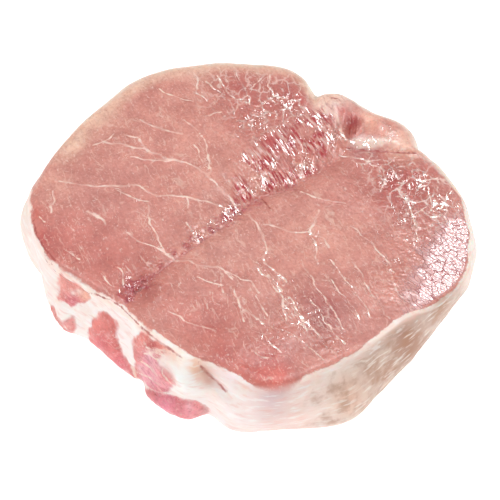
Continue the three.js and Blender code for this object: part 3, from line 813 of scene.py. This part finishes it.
# %% Pale rim, strips of fat and the sides that the photo doesn't show
REDDER = (1.03, 0.98, 0.98)
PALE_RIM, PALE_SHARE, PALE_MIDDLE = "#f0cbb2", 0.8, 155
PALE_ANGLES, PALE_WIDTH = (-56, -44, 46, 60), (2.4, 8.5)
of_ribs = (rib > -past_edge) & near_wall
towards_eye = (round_x * eye[0] + round_y * eye[1]) / np.hypot(eye[0], eye[1])
unseen = (1 - ramp(towards_eye, -0.2, 0.25)) * on_wall
pale_end = ramp(from_rim + 1.2 * uneven(raw_x, raw_y, 5, 23), *PALE_WIDTH)
pale_rim = ~under * stretch(turn(degrees, PALE_MIDDLE), *PALE_ANGLES) * (1 - pale_end)
lean_colour = np.where(of_ribs[..., None], rib_colour, face_colour) * REDDER
lean_colour = mix(lean_colour, linear(PALE_RIM), (PALE_SHARE * pale_rim)[..., None])
for share, text in ((0.9 * unseen, "#f3dccb"), (0.85 * lip, "#fae6dc"), (0.9 * strip, "#f6e6db")):
    fat_colour = mix(fat_colour, linear(text), share[..., None])
print("ribs colour", int(of_ribs.sum()), "points; pale rim on", int((pale_rim > 0.5).sum()))

# %% Masks of silverskin, and of painted shade and deep red along the fold
SILVER_ANGLES, SILVER_DOWN = (-42, -14, 12, 24), (0.8, 3, 40, 50)
FAR_SILVER, FAR_SILVER_ANGLES = 0.55, (40, 60, 140, 165)
SEAM_SHARES, SEAM_HALF, BEAD_DARK = (0.45, 0.6), 0.6, 0.85
silver = stretch(degrees, *SILVER_ANGLES) * stretch(-from_rim, *SILVER_DOWN) * on_wall
far_silver = FAR_SILVER * stretch(degrees, *FAR_SILVER_ANGLES) * on_wall
silver = np.maximum(silver, far_silver) * (1 - strip)
# Along the bottom of the fold's crease this is painted shade; on the beads it is their own deep
# red.
seam_shade_and_red = mix(*SEAM_SHARES, ramp(raw_y, -8, 4)) * swell(from_fold + 0.3, SEAM_HALF)
seam_shade_and_red = seam_shade_and_red * crease_ends * on_face
seam_shade_and_red = np.clip(np.maximum(seam_shade_and_red, BEAD_DARK * np.clip(beads / 0.3, 0, 1)), 0, 1)
print("silverskin on", int((silver > 0.5).sum()), "points")

# %% Masks of gloss and lace: x, y, reach and strength of each spot
GLINT_PLACES = [
    (258,182, 15, 1.0), (274,162, 10, 0.9), (291,180, 9, 0.9), (306,162, 13, 1.0),
    (334,136, 12, 1.0), (316,124, 13, 0.8), (285,148, 16, 0.7), (243,160, 14, 0.7),
    (255,122, 28, 0.85), (285,104, 28, 0.85), (225,88, 24, 0.4), (205,100, 22, 0.35),
    (362,168, 16, 0.6), (390,178, 20, 0.8), (418,185, 20, 0.95), (440,205, 18, 0.95),
    (461,206, 12, 0.9), (412,242, 13, 0.8), (405,212, 20, 0.9), (385,232, 18, 0.6),
    (455,228, 14, 0.9), (395,262, 14, 0.7), (130,287, 15, 1.0), (282,280, 18, 0.7),
    (305,318, 26, 0.8), (335,345, 20, 0.7), (275,338, 28, 0.6), (197,237, 11, 0.85),
    (212,226, 11, 0.85), (228,213, 14, 0.95), (390,132, 10, 0.9), (368,141, 10, 0.9),
    (350,150, 14, 0.5), (340,280, 40, 0.45), (310,240, 26, 0.45), (360,320, 24, 0.4),
    (200,300, 24, 0.3), (265,260, 30, 0.45), (302,304, 26, 0.6), (290,200, 24, 0.4),
    (150,125, 40, 0.2), (110,250, 30, 0.2),
]  # fmt: skip
SHINE_PLACES = [
    (262,180, 26, 1.0), (300,160, 26, 1.0), (330,135, 20, 1.0), (250,115, 34, 0.8),
    (285,100, 24, 0.8), (215,95, 30, 0.45), (400,180, 36, 0.9), (425,240, 36, 1.0),
    (400,285, 24, 0.8), (350,190, 26, 0.5), (290,320, 36, 0.3), (330,345, 18, 0.5),
    (150,280, 20, 0.9), (200,238, 18, 0.8), (230,215, 16, 0.9), (390,130, 16, 0.6),
    (240,350, 30, 0.2), (345,130, 14, 0.8),
]  # fmt: skip
LACE_PLACES = [
    (255,100, 30, 0.8), (285,98, 26, 0.9), (225,85, 24, 0.6), (250,125, 20, 0.5),
    (405,185, 30, 1.0), (432,205, 24, 1.0), (375,165, 20, 0.7), (440,180, 18, 0.8),
]  # fmt: skip
glint, lace = spots(GLINT_PLACES) * on_face, spots(LACE_PLACES) * on_face
shine = spots(SHINE_PLACES)
print("gloss on", int((shine > 0.5).sum()), "points, lace on", int((lace > 0.5).sum()))

# %% The crazed sheet at the right, and the faces that mirror the light
SHEET = [
    437,230, 450,214, 470,212, 480,240, 480,268, 474,284, 458,300, 440,309, 424,319, 402,320,
    402,296, 411,277, 420,252,
]  # fmt: skip
SHEET_STREAKS = (2.2, 6.0, 1.1)  # height, length and width of the streaks at its edge
SHEET_FADE = (-3, 6)
WINDOW_WAY, WINDOW_FAR = np.array([-0.057, 0.261, 0.963]), 800.0  # the soft light overhead


def unit(vectors):
    return vectors / np.linalg.norm(vectors, axis=-1, keepdims=True)


high, long, wide = SHEET_STREAKS
streaky = 1.5 * uneven(raw_x, raw_y, 3, 24) + high * uneven(raw_x / long, raw_y / wide, 1, 25)
net = ramp(inside_patch(pixels, SHEET) + streaky, *SHEET_FADE) * on_face
mirror_way = unit(unit(WINDOW_WAY * WINDOW_FAR - skin) + unit(eye - skin))
print("the sheet covers", int((net > 0.5).sum()), "points")

# %% [markdown]
# ## The skin as a mesh
#
# The rows and columns become four-sided patches. Points that fall on the same place along
# the fold are joined. Each tissue value is stored on the points as an attribute, where the
# material can read it.

# %% Mesh of the chop
flat_points = skin.reshape(-1, 3)
_, first, number = np.unique(flat_points.round(4), axis=0, return_index=True, return_inverse=True)
grid = number.reshape(GRID)
after = np.roll(grid, -1, axis=1)
patches = np.stack([grid[:-1], grid[1:], after[1:], after[:-1]], axis=-1).reshape(-1, 4)

mesh = bpy.data.meshes.new("pork_chop")
mesh.from_pydata((flat_points[first] * MM).tolist(), [], patches.tolist())
mesh.validate()
mesh.polygons.foreach_set("use_smooth", np.ones(len(mesh.polygons), bool))

chop = bpy.data.objects.new("pork_chop", mesh)
scene.collection.objects.link(chop)
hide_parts("chop")
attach(chop, "root")
print("chop of", len(mesh.vertices), "points and", len(mesh.polygons), "patches")

# %% Values that the skin carries
SHARES = {
    "lean_in": lean_in, "edge_soft": edge_soft, "silver": silver, "torn": torn,
    "seam_shade_and_red": seam_shade_and_red, "net": net, "lace": lace, "shine": shine, "glint": glint,
}  # fmt: skip
COLOURS = {"lean_colour": lean_colour, "fat_colour": fat_colour}
WAYS = {"vein_way": vein_way, "crease_shade_way": crease_shade_way, "mirror_way": mirror_way}


def store(name, kind, field, values, width):
    """Keeps one value per point of the skin on the mesh."""
    attribute = mesh.attributes.new(name, kind, "POINT")
    kept = values.reshape(-1, width)[first].astype(np.float32)
    attribute.data.foreach_set(field, kept.ravel())


for name, values in SHARES.items():
    store(name, "FLOAT", "value", np.broadcast_to(values, GRID), 1)
for name, values in COLOURS.items():
    opaque = np.ones(GRID + (1,))
    store(name, "FLOAT_COLOR", "color", np.concatenate([values, opaque], axis=-1), 4)
for name, values in WAYS.items():
    store(name, "FLOAT_VECTOR", "vector", values, 3)
print("each point carries", len(SHARES) + len(COLOURS) + len(WAYS), "values")

# %% [markdown]
# ## Raw pork as a material
#
# Lean meat is wet and slightly see-through, so light goes in and comes out pink and soft:
# that is subsurface scattering. Its water gives a sharp gloss, broken up by the grain of
# the cut fibres. Fat is whiter, waxier and less sharp. Silverskin is a thin, dry-looking,
# brownish film with pale streaks. One material holds all three and mixes them by the
# borders stored on the points.


# %% One helper for nodes
def add(kind, sockets, **settings):
    """Adds a node, sets its own settings, and gives its sockets values or links."""
    node = tree.nodes.new(kind)
    for key, value in settings.items():
        setattr(node, key, value)
    for socket, value in sockets.items():
        if isinstance(value, bpy.types.NodeSocket):
            tree.links.new(value, node.inputs[socket])
        else:
            node.inputs[socket].default_value = value
    return node.outputs


def colour(text):
    """A hex colour with full cover, for a colour socket."""
    return (*linear(text), 1.0)


pork = bpy.data.materials.new("raw_pork")
pork.use_nodes = True
tree = pork.node_tree
tree.nodes.clear()
stored = {}
for names, output in ((SHARES, "Fac"), (COLOURS, "Color"), (WAYS, "Vector")):
    for name in names:
        stored[name] = add("ShaderNodeAttribute", {}, attribute_name=name)[output]
place = add("ShaderNodeTexCoord", {})["Object"]
print("the material reads", len(stored), "values")


# %% Arithmetic with nodes
def maths(operation, a, b=0.0):
    return add("ShaderNodeMath", {0: a, 1: b}, operation=operation)[0]


def chain(operation, values):
    """Joins several values by one operation, from the first to the last."""
    result = values[0]
    for value in values[1:]:
        result = maths(operation, result, value)
    return result


def times(*factors):
    return chain("MULTIPLY", factors)


def plus(*terms):
    return chain("ADD", terms)


def most(*values):
    return chain("MAXIMUM", values)


def minus(a, b):
    return maths("SUBTRACT", a, b)


def between(value, low, high, start=0.0, end=1.0):
    """Rises smoothly from start to end while the value goes from low to high."""
    sockets = {"Value": value, "From Min": low, "From Max": high, "To Min": start, "To Max": end}
    return add("ShaderNodeMapRange", sockets, interpolation_type="SMOOTHSTEP")[0]


def blend(share, a, b, kind="MIX"):
    sockets = {0: share, 6: a, 7: b}
    return add("ShaderNodeMix", sockets, data_type="RGBA", blend_type=kind)[2]


# %% Patterns
PER_MM = 1000.0  # a pattern of one millimetre, as a scale in metres


def noise(vector, size_mm, detail=1.0):
    sockets = {"Vector": vector, "Scale": PER_MM / size_mm, "Detail": detail, "Roughness": 0.55}
    return add("ShaderNodeTexNoise", sockets)[0]


def patchy(size_mm, low, high, start=0.0, end=1.0, detail=1.0):
    """Patches of a size, rising from start to end while their noise goes from low to high."""
    return between(noise(place, size_mm, detail), low, high, start, end)


def from_half(pattern):
    """How far a pattern is from its middle: 0 along thin winding lines."""
    return maths("ABSOLUTE", minus(pattern, 0.5))


def cells(vector, size_mm, feature="F1"):
    """Distance from the middles, or from the edges, of random cells."""
    sockets = {"Vector": vector, "Scale": PER_MM / size_mm}
    return add("ShaderNodeTexVoronoi", sockets, feature=feature)["Distance"]


def lying(way_turn, longer, start=0.0, vector=place):
    """The place, squeezed so that a pattern comes out longer along one way."""
    sockets = {"Vector": vector, "Location": (start, 0, 0)}
    sockets |= {"Rotation": (0, 0, way_turn), "Scale": (longer, 1, 1)}
    return add("ShaderNodeMapping", sockets, vector_type="TEXTURE")[0]


def vector_maths(operation, sockets):
    return add("ShaderNodeVectorMath", sockets, operation=operation)[0]


def tint(base, text, *shares):
    """Paints a hex colour over a base, by the product of some shares."""
    return blend(times(*shares), base, colour(text))


# %% Lean: broad clouds of colour and the grain of the cut fibres
CLOUD_MM, GRAIN_MM, FINE_MM = 8.0, 1.6, 0.7
CLOUD_SHADE, GRAIN_SHADE, FINE_SHADE = (0.79, 1.12), (-0.09, 0.07), (-0.07, 0.06)
RED_POWER = 0.6  # red varies less than green and blue
clouds = noise(place, CLOUD_MM, 3.0)
grain = noise(place, GRAIN_MM, 2.0)
fine = noise(place, FINE_MM)
shade = plus(between(clouds, 0.3, 0.7, *CLOUD_SHADE), between(grain, 0.3, 0.7, *GRAIN_SHADE))
shade = plus(shade, between(fine, 0.3, 0.7, *FINE_SHADE))
shade_colour = {0: maths("POWER", shade, RED_POWER), 1: shade, 2: shade}
shade_colour = add("ShaderNodeCombineXYZ", shade_colour)[0]
lean = blend(1.0, stored["lean_colour"], shade_colour, "MULTIPLY")

# %% Lean: flecks of fat along the grain
FLECK_MM, FLECK_LONGER, FLECK_PATCH_MM, DOT_MM = 0.7, 5.0, 11.0, 2.6
CURL_MM, CURL_LONGER = 1.5, 3.2
fleck_noise = noise(lying(GRAIN_TURN, FLECK_LONGER), FLECK_MM, 1.5)
fleck_patches = noise(place, FLECK_PATCH_MM)
flecks = times(between(fleck_noise, 0.59, 0.66), between(fleck_patches, 0.36, 0.58))
dots = times(between(cells(place, DOT_MM), 0.20, 0.10), between(fine, 0.45, 0.6), 0.7)
dark_flecks = times(between(fleck_noise, 0.42, 0.33), between(fleck_patches, 0.62, 0.42))
curls = between(from_half(noise(lying(GRAIN_TURN, CURL_LONGER), CURL_MM)), 0.022, 0.006)
speck_share = between(fleck_patches, 0.35, 0.65, 0.1, 0.35)
lean = tint(lean, "#f2cfc0", most(flecks, dots), 0.3)
lean = tint(lean, "#b4635b", dark_flecks, 0.25)
lean = tint(lean, "#f7ddd2", between(fine, 0.63, 0.72), speck_share)
lean = tint(lean, "#f7ddd2", curls, patchy(CURL_MM, 0.54, 0.64), 0.5)
lean = tint(lean, "#b0574f", between(fine, 0.38, 0.28, 0.0, 0.30))

# %% Lean: thin twigs between the main veins
TWIG_MM, TWIG_LONGER, TWIG_GATE_MM = 6.0, 5.0, 4.0
TWIG_WAYS = [(1, GRAIN_TURN), (2, np.radians(24))]  # start, way
BEND_MM = 5.0
bent = {"Vector": place, "Scale": PER_MM / TWIG_MM, "Detail": 2.0}
bent = add("ShaderNodeTexNoise", bent)["Color"]
bent = vector_maths("SUBTRACT", {0: bent, 1: (0.5, 0.5, 0.5)})
bent = vector_maths("SCALE", {0: bent, "Scale": BEND_MM * MM})
bent_place = vector_maths("ADD", {0: place, 1: bent})
twigs = []
for start, way_turn in TWIG_WAYS:
    twig_noise = noise(lying(way_turn, TWIG_LONGER, start, bent_place), TWIG_MM)
    twig_gate = patchy(TWIG_GATE_MM + start, 0.50, 0.62)
    twigs.append(times(between(from_half(twig_noise), 0.012, 0.003), twig_gate))
lean = tint(lean, "#efcaba", most(*twigs), 0.38)
print("twigs lie along", len(twigs), "ways")


# %% Lean: the main veins
def line_share(way_to_line, inner, outer):
    """1 on a stored line, fading at multiples of its half width."""
    parts = add("ShaderNodeSeparateXYZ", {0: way_to_line})
    square = plus(times(parts[0], parts[0]), times(parts[1], parts[1]))
    gap = plus(maths("SQRT", square), wobble)
    return between(maths("DIVIDE", gap, parts[2]), outer, inner)


WOBBLE_MM, VEIN_PATCH_MM = 1.4, 5.0
wobble = patchy(WOBBLE_MM, 0.25, 0.75, -0.18, 0.16, detail=2.0)
vein = line_share(stored["vein_way"], 0.3, 1.0)
vein_halo = line_share(stored["vein_way"], 0.4, 2.6)
lean = tint(lean, "#e8b9ab", vein_halo, 0.16)
lean = tint(lean, "#f6d8cb", vein, patchy(VEIN_PATCH_MM, 0.35, 0.60, 0.25))

# %% Lean: torn fibres with painted shade and sheen, and the fold with painted shade in its crease
STRAND_MM, TORN_LONGER = 0.8, 7.0
torn_share = stored["torn"]
strands = noise(lying(TEAR_TURN, TORN_LONGER), STRAND_MM, 2.0)
# Painted shade in the gaps between the torn strands, over their deeper red, and painted sheen on
# their crests: both follow the strand relief.
lean = tint(lean, "#b5444c", torn_share, between(strands, 0.54, 0.40))
lean = tint(lean, "#f3d5cf", torn_share, 0.7, between(strands, 0.53, 0.66))
# Painted shade in the fold's crease, and the deep red of the beads.
lean = tint(lean, "#a63c4e", stored["seam_shade_and_red"], between(grain, 0.25, 0.6, 1.0, 0.5))

# %% Lean: the painted sheen and cracks of the sheet, and the lace of thin fat where the bundles are small
NET_CELL_MM, NET_LONGER, NET_GATE_MM = 1.2, 2.6, 3.0
LACE_CELL_MM, LACE_LONGER, LACE_GATE_MM, LACE_TURN = 3.4, 1.9, 2.6, np.radians(130)
net_edge = cells(lying(0, NET_LONGER), NET_CELL_MM, "DISTANCE_TO_EDGE")
net_lines = times(between(net_edge, 0.08, 0.02), stored["net"])
net_lines = times(net_lines, patchy(NET_GATE_MM, 0.30, 0.50, 0.4))
# Painted sheen: the crazed sheet is tinted pale where its wet film shines.
lean = tint(lean, "#f2d2d6", stored["net"], 0.6)
lean = tint(lean, "#a2484a", net_lines, 0.8)
lace_place = lying(LACE_TURN, LACE_LONGER, vector=bent_place)
lace_edge = cells(lace_place, LACE_CELL_MM, "DISTANCE_TO_EDGE")
lace_line = between(plus(lace_edge, times(wobble, 0.12)), 0.08, 0.02)
lace_line = times(lace_line, stored["lace"], patchy(LACE_GATE_MM, 0.41, 0.50, detail=2.0))
lace_pool = times(between(lace_edge, 0.04, 0.25), stored["lace"])
lean = tint(lean, "#b85a58", lace_pool, between(clouds, 0.35, 0.6, 0.15, 0.65))
lean = tint(lean, "#fae3da", lace_line, 0.8)

# %% Fat and silverskin
WALL_TILT, WALL_LONGER = (0.35, 0.0, 0.0), (0.22, 0.22, 1)
FAT_CLOUD_MM, FAT_STREAK_MM, FILM_CLOUD_MM, FILM_EDGE_MM = 5.0, 1.1, 4.5, 6.0
wall_place = {"Vector": place, "Rotation": WALL_TILT, "Scale": WALL_LONGER}
wall_place = add("ShaderNodeMapping", wall_place)[0]
fat_streaks = noise(wall_place, FAT_STREAK_MM, 3.0)
fat_cloud = patchy(FAT_CLOUD_MM, 0.40, 0.75, 0.0, 0.35, detail=3.0)
fat = tint(stored["fat_colour"], "#f3cdbf", fat_cloud)
fat = tint(fat, "#ecb4a8", between(fat_streaks, 0.54, 0.68, 0.0, 0.4))
fat = tint(fat, "#fffaf6", between(fat_streaks, 0.46, 0.34, 0.0, 0.5))
film_cloud = noise(place, FILM_CLOUD_MM, 6.0)
film = tint(stored["fat_colour"], "#b4774e", between(film_cloud, 0.42, 0.66, 0.0, 0.55))
film = tint(film, "#ead0bc", between(film_cloud, 0.48, 0.34, 0.0, 0.5))
film = tint(film, "#fbeee4", between(fat_streaks, 0.52, 0.66, 0.0, 0.6))
film_edge = patchy(FILM_EDGE_MM, 0.3, 0.7, -0.3, 0.3, detail=3.0)
cover = blend(between(plus(stored["silver"], film_edge), 0.25, 0.75), fat, film)

# %% Borders, and painted shade in the creases
BORDER_MM, CREASE_GATE_MM = 5.0, 2.5
HALF_CRISP, HALF_SOFT = 0.25, 3.0  # half widths of a border in mm
border = patchy(BORDER_MM, 0.25, 0.75, -0.35, 0.35, detail=2.0)
border = plus(stored["lean_in"], plus(border, between(fine, 0.3, 0.7, -0.1, 0.1)))
half_wide = between(stored["edge_soft"], 0.0, 1.0, HALF_CRISP, HALF_SOFT)
lean_share = maths("DIVIDE", plus(border, half_wide), times(half_wide, 2.0))
lean_share = between(lean_share, 0.0, 1.0)
flesh = blend(lean_share, cover, lean)
# Dark red tint along the creases: painted shade in cracks, cuts and the crevice, partly the dark
# red of the flesh in them.
crease_shade_share = line_share(stored["crease_shade_way"], 0.1, 0.8)
crease_shade_gate = patchy(CREASE_GATE_MM, 0.35, 0.55, 0.5, detail=2.0)
flesh = tint(flesh, "#a83c34", crease_shade_share, crease_shade_gate, 0.8)

# %% [markdown]
# ## Wet glints
#
# Water stands on the cut face in small ridges and drops. Those that face half-way between
# the eye and the light mirror it, and they are smaller than a patch of the skin. So the
# skin keeps that half-way direction, and thin patterns turn the face towards it: streaks
# on the torn fibres, fine lines and dashes on the far lobe, drops, and a crazed sheet at
# the right.


# %% Glints: small wet faces that mirror the light from above
def wetted(pattern, few, many, width):
    """The peaks of a pattern above a limit, which is lower where the face is wetter."""
    limit = between(stored["glint"], 0.0, 1.0, few, many)
    return between(minus(pattern, limit), 0.0, width)


STREAK_MM, GLINT_TURN, GATE_MM = 0.6, np.radians(-38), 1.3
FINE_LINE_MM, FINE_LINE_LONGER, DASH_MM, DASH_LONGER = 1.5, 1.6, 0.5, 6.0
DROP_MM, DROP_GATE_MM, SHEET_GRAIN_MM = 1.3, 1.5, 0.55
streaks = wetted(noise(lying(TEAR_TURN, TORN_LONGER), STREAK_MM, 2.0), 0.66, 0.50, 0.07)
streaks = times(streaks, between(torn_share, 0.05, 0.4))
fine_lines = from_half(noise(lying(GLINT_TURN, FINE_LINE_LONGER), FINE_LINE_MM, 2.0))
fine_lines = between(fine_lines, 0.028, 0.006, 0.0, 0.9)
fine_lines = times(fine_lines, wetted(noise(place, GATE_MM), 0.75, 0.42, 0.12))
dashes = wetted(noise(lying(GLINT_TURN, DASH_LONGER), DASH_MM), 0.78, 0.60, 0.10)
drops = between(cells(place, DROP_MM), 0.18, 0.08)
drops = times(drops, wetted(noise(place, DROP_GATE_MM), 0.80, 0.44, 0.06))
on_vein = times(vein, patchy(GATE_MM, 0.50, 0.62))
on_vein = times(on_vein, between(stored["glint"], 0.05, 0.4, 0.0, 0.8))
on_lace = times(lace_line, patchy(GATE_MM, 0.46, 0.60), between(stored["glint"], 0.4, 0.8))
sheet = times(between(stored["net"], 0.15, 0.85), between(net_edge, 0.02, 0.07, 0.25, 1.0))
sheet = times(sheet, patchy(SHEET_GRAIN_MM, 0.35, 0.65, 0.45, 0.80))
glints = times(most(streaks, fine_lines, dashes, drops, on_vein, on_lace, sheet), lean_share)
turned = between(glints, 0.0, 0.25)
shape = add("ShaderNodeNewGeometry", {})["Normal"]
facing = {0: turned, 4: shape, 5: stored["mirror_way"]}
facing = add("ShaderNodeMix", facing, data_type="VECTOR")[1]
facing = vector_maths("NORMALIZE", {0: facing})

# %% Gloss
ROUGH_LEAN, WET_GLOSS, ROUGH_FAT = (0.52, 0.44), 0.22, 0.48
ROUGH_GLINT = (0.8, 0.13)  # at its border and in its middle
wet = maths("MINIMUM", most(stored["shine"], torn_share, stored["seam_shade_and_red"]), 1.0)
rough_lean = minus(between(grain, 0.3, 0.7, *ROUGH_LEAN), times(wet, WET_GLOSS))
rough = plus(times(rough_lean, lean_share), times(minus(1.0, lean_share), ROUGH_FAT))
rough_glint = times(turned, between(glints, 0.1, 1.0, *ROUGH_GLINT))
rough = plus(times(rough, minus(1.0, turned)), rough_glint)

# %% Fine relief in the material
CREST_MM, WATER_MM = 3.0, 2.0
crests = minus(1.0, times(from_half(noise(place, CREST_MM)), 5.0))
water = plus(times(crests, 0.40), times(noise(place, WATER_MM), 1.1))
water = times(water, minus(1.0, times(stored["net"], 0.5)), stored["shine"])
RELIEF = [  # pattern, height
    (clouds, 0.15), (grain, 0.22), (fine, 0.04), (fleck_noise, 0.12), (vein, 0.08),
    (water, 1.0), (net_lines, -0.12), (times(strands, torn_share), 0.25),
]  # fmt: skip
relief = plus(*[times(pattern, high) for pattern, high in RELIEF])
relief = times(relief, plus(times(lean_share, 0.65), 0.35))
relief = times(relief, minus(1.0, times(turned, 0.9)))
bump = {"Strength": 1.0, "Distance": 0.5 * MM, "Height": relief, "Normal": facing}
normal = add("ShaderNodeBump", bump)["Normal"]
print("the relief is a sum of", len(RELIEF), "patterns")

# %% Shader of raw pork
PORK_LOOK = {
    "Base Color": flesh,
    "Roughness": rough,
    "Normal": normal,
    "IOR": 1.40,
    "Subsurface Weight": 0.45,
    "Subsurface Radius": (1.0, 0.45, 0.33),
    "Subsurface Scale": 2.0 * MM,
    "Specular IOR Level": 1.0,
}
add("ShaderNodeOutputMaterial", {"Surface": add("ShaderNodeBsdfPrincipled", PORK_LOOK)[0]})
mesh.materials.append(pork)
print("raw pork has", len(tree.nodes), "nodes")

# %% [markdown]
# ## Table and light
#
# The picture is high-key: a white table, light from all round, and one soft light from the
# left. A soft light overhead is what the wet parts mirror, and a weak one from behind keeps
# the far rim bright. The table is so bright that the shadow on it almost burns out.

# %% Table
TABLE_HALF = 1.2
TABLE_LOOK = {
    "Base Color": (0.3, 0.3, 0.3, 1.0),
    "Roughness": 0.9,
    "Specular IOR Level": 0.1,
    "Emission Color": colour("#ffffff"),
    "Emission Strength": 1.06,
}
corners = [(-TABLE_HALF, -TABLE_HALF, 0), (TABLE_HALF, -TABLE_HALF, 0)]
corners += [(TABLE_HALF, TABLE_HALF, 0), (-TABLE_HALF, TABLE_HALF, 0)]
table_mesh = bpy.data.meshes.new("table")
table_mesh.from_pydata(corners, [], [(0, 1, 2, 3)])
table = bpy.data.objects.new("table", table_mesh)
scene.collection.objects.link(table)
table_white = bpy.data.materials.new("matt_white_table")
table_white.use_nodes = True
table_shader = table_white.node_tree.nodes["Principled BSDF"]
for socket, value in TABLE_LOOK.items():
    table_shader.inputs[socket].default_value = value
table_mesh.materials.append(table_white)
print("table of", 2 * TABLE_HALF, "m")

# %% Lights
WORLD_STRENGTH = 0.12
LIGHTS = {  # way to the light, distance, width, height, turn of its width, watts
    "key": ((-0.45, -0.85, 1.0), 0.9, 0.29, 0.29, 0, 3.4),
    "fill": ((0.9, -0.5, 0.6), 0.9, 0.40, 0.40, 0, 1.5),
    "rim": ((0.35, 1.0, 0.3), 0.9, 0.50, 0.30, 0, 1.8),
    "overhead": (WINDOW_WAY, WINDOW_FAR * MM, 0.28, 0.14, -25.5, 3.2),
}
world = bpy.data.worlds.new("studio")
world.use_nodes = True
background = world.node_tree.nodes["Background"]
background.inputs["Color"].default_value = (1, 1, 1, 1)
background.inputs["Strength"].default_value = WORLD_STRENGTH
scene.world = world
for name, (way_to, distance, width, height, turned_by, watts) in LIGHTS.items():
    light = bpy.data.lights.new(name, "AREA")
    light.shape, light.size, light.size_y, light.energy = "RECTANGLE", width, height, watts
    lamp = bpy.data.objects.new(name, light)
    way_to = unit(np.array(way_to))
    sideways = np.array([np.cos(np.radians(turned_by)), np.sin(np.radians(turned_by)), 0])
    sideways = unit(sideways - (sideways @ way_to) * way_to)
    axes = np.column_stack([sideways, np.cross(way_to, sideways), way_to])
    placed = Matrix.Translation((way_to * distance).tolist())
    lamp.matrix_world = placed @ Matrix(axes.tolist()).to_4x4()
    scene.collection.objects.link(lamp)
scene.view_settings.view_transform = "Standard"
print("lights:", ", ".join(LIGHTS))
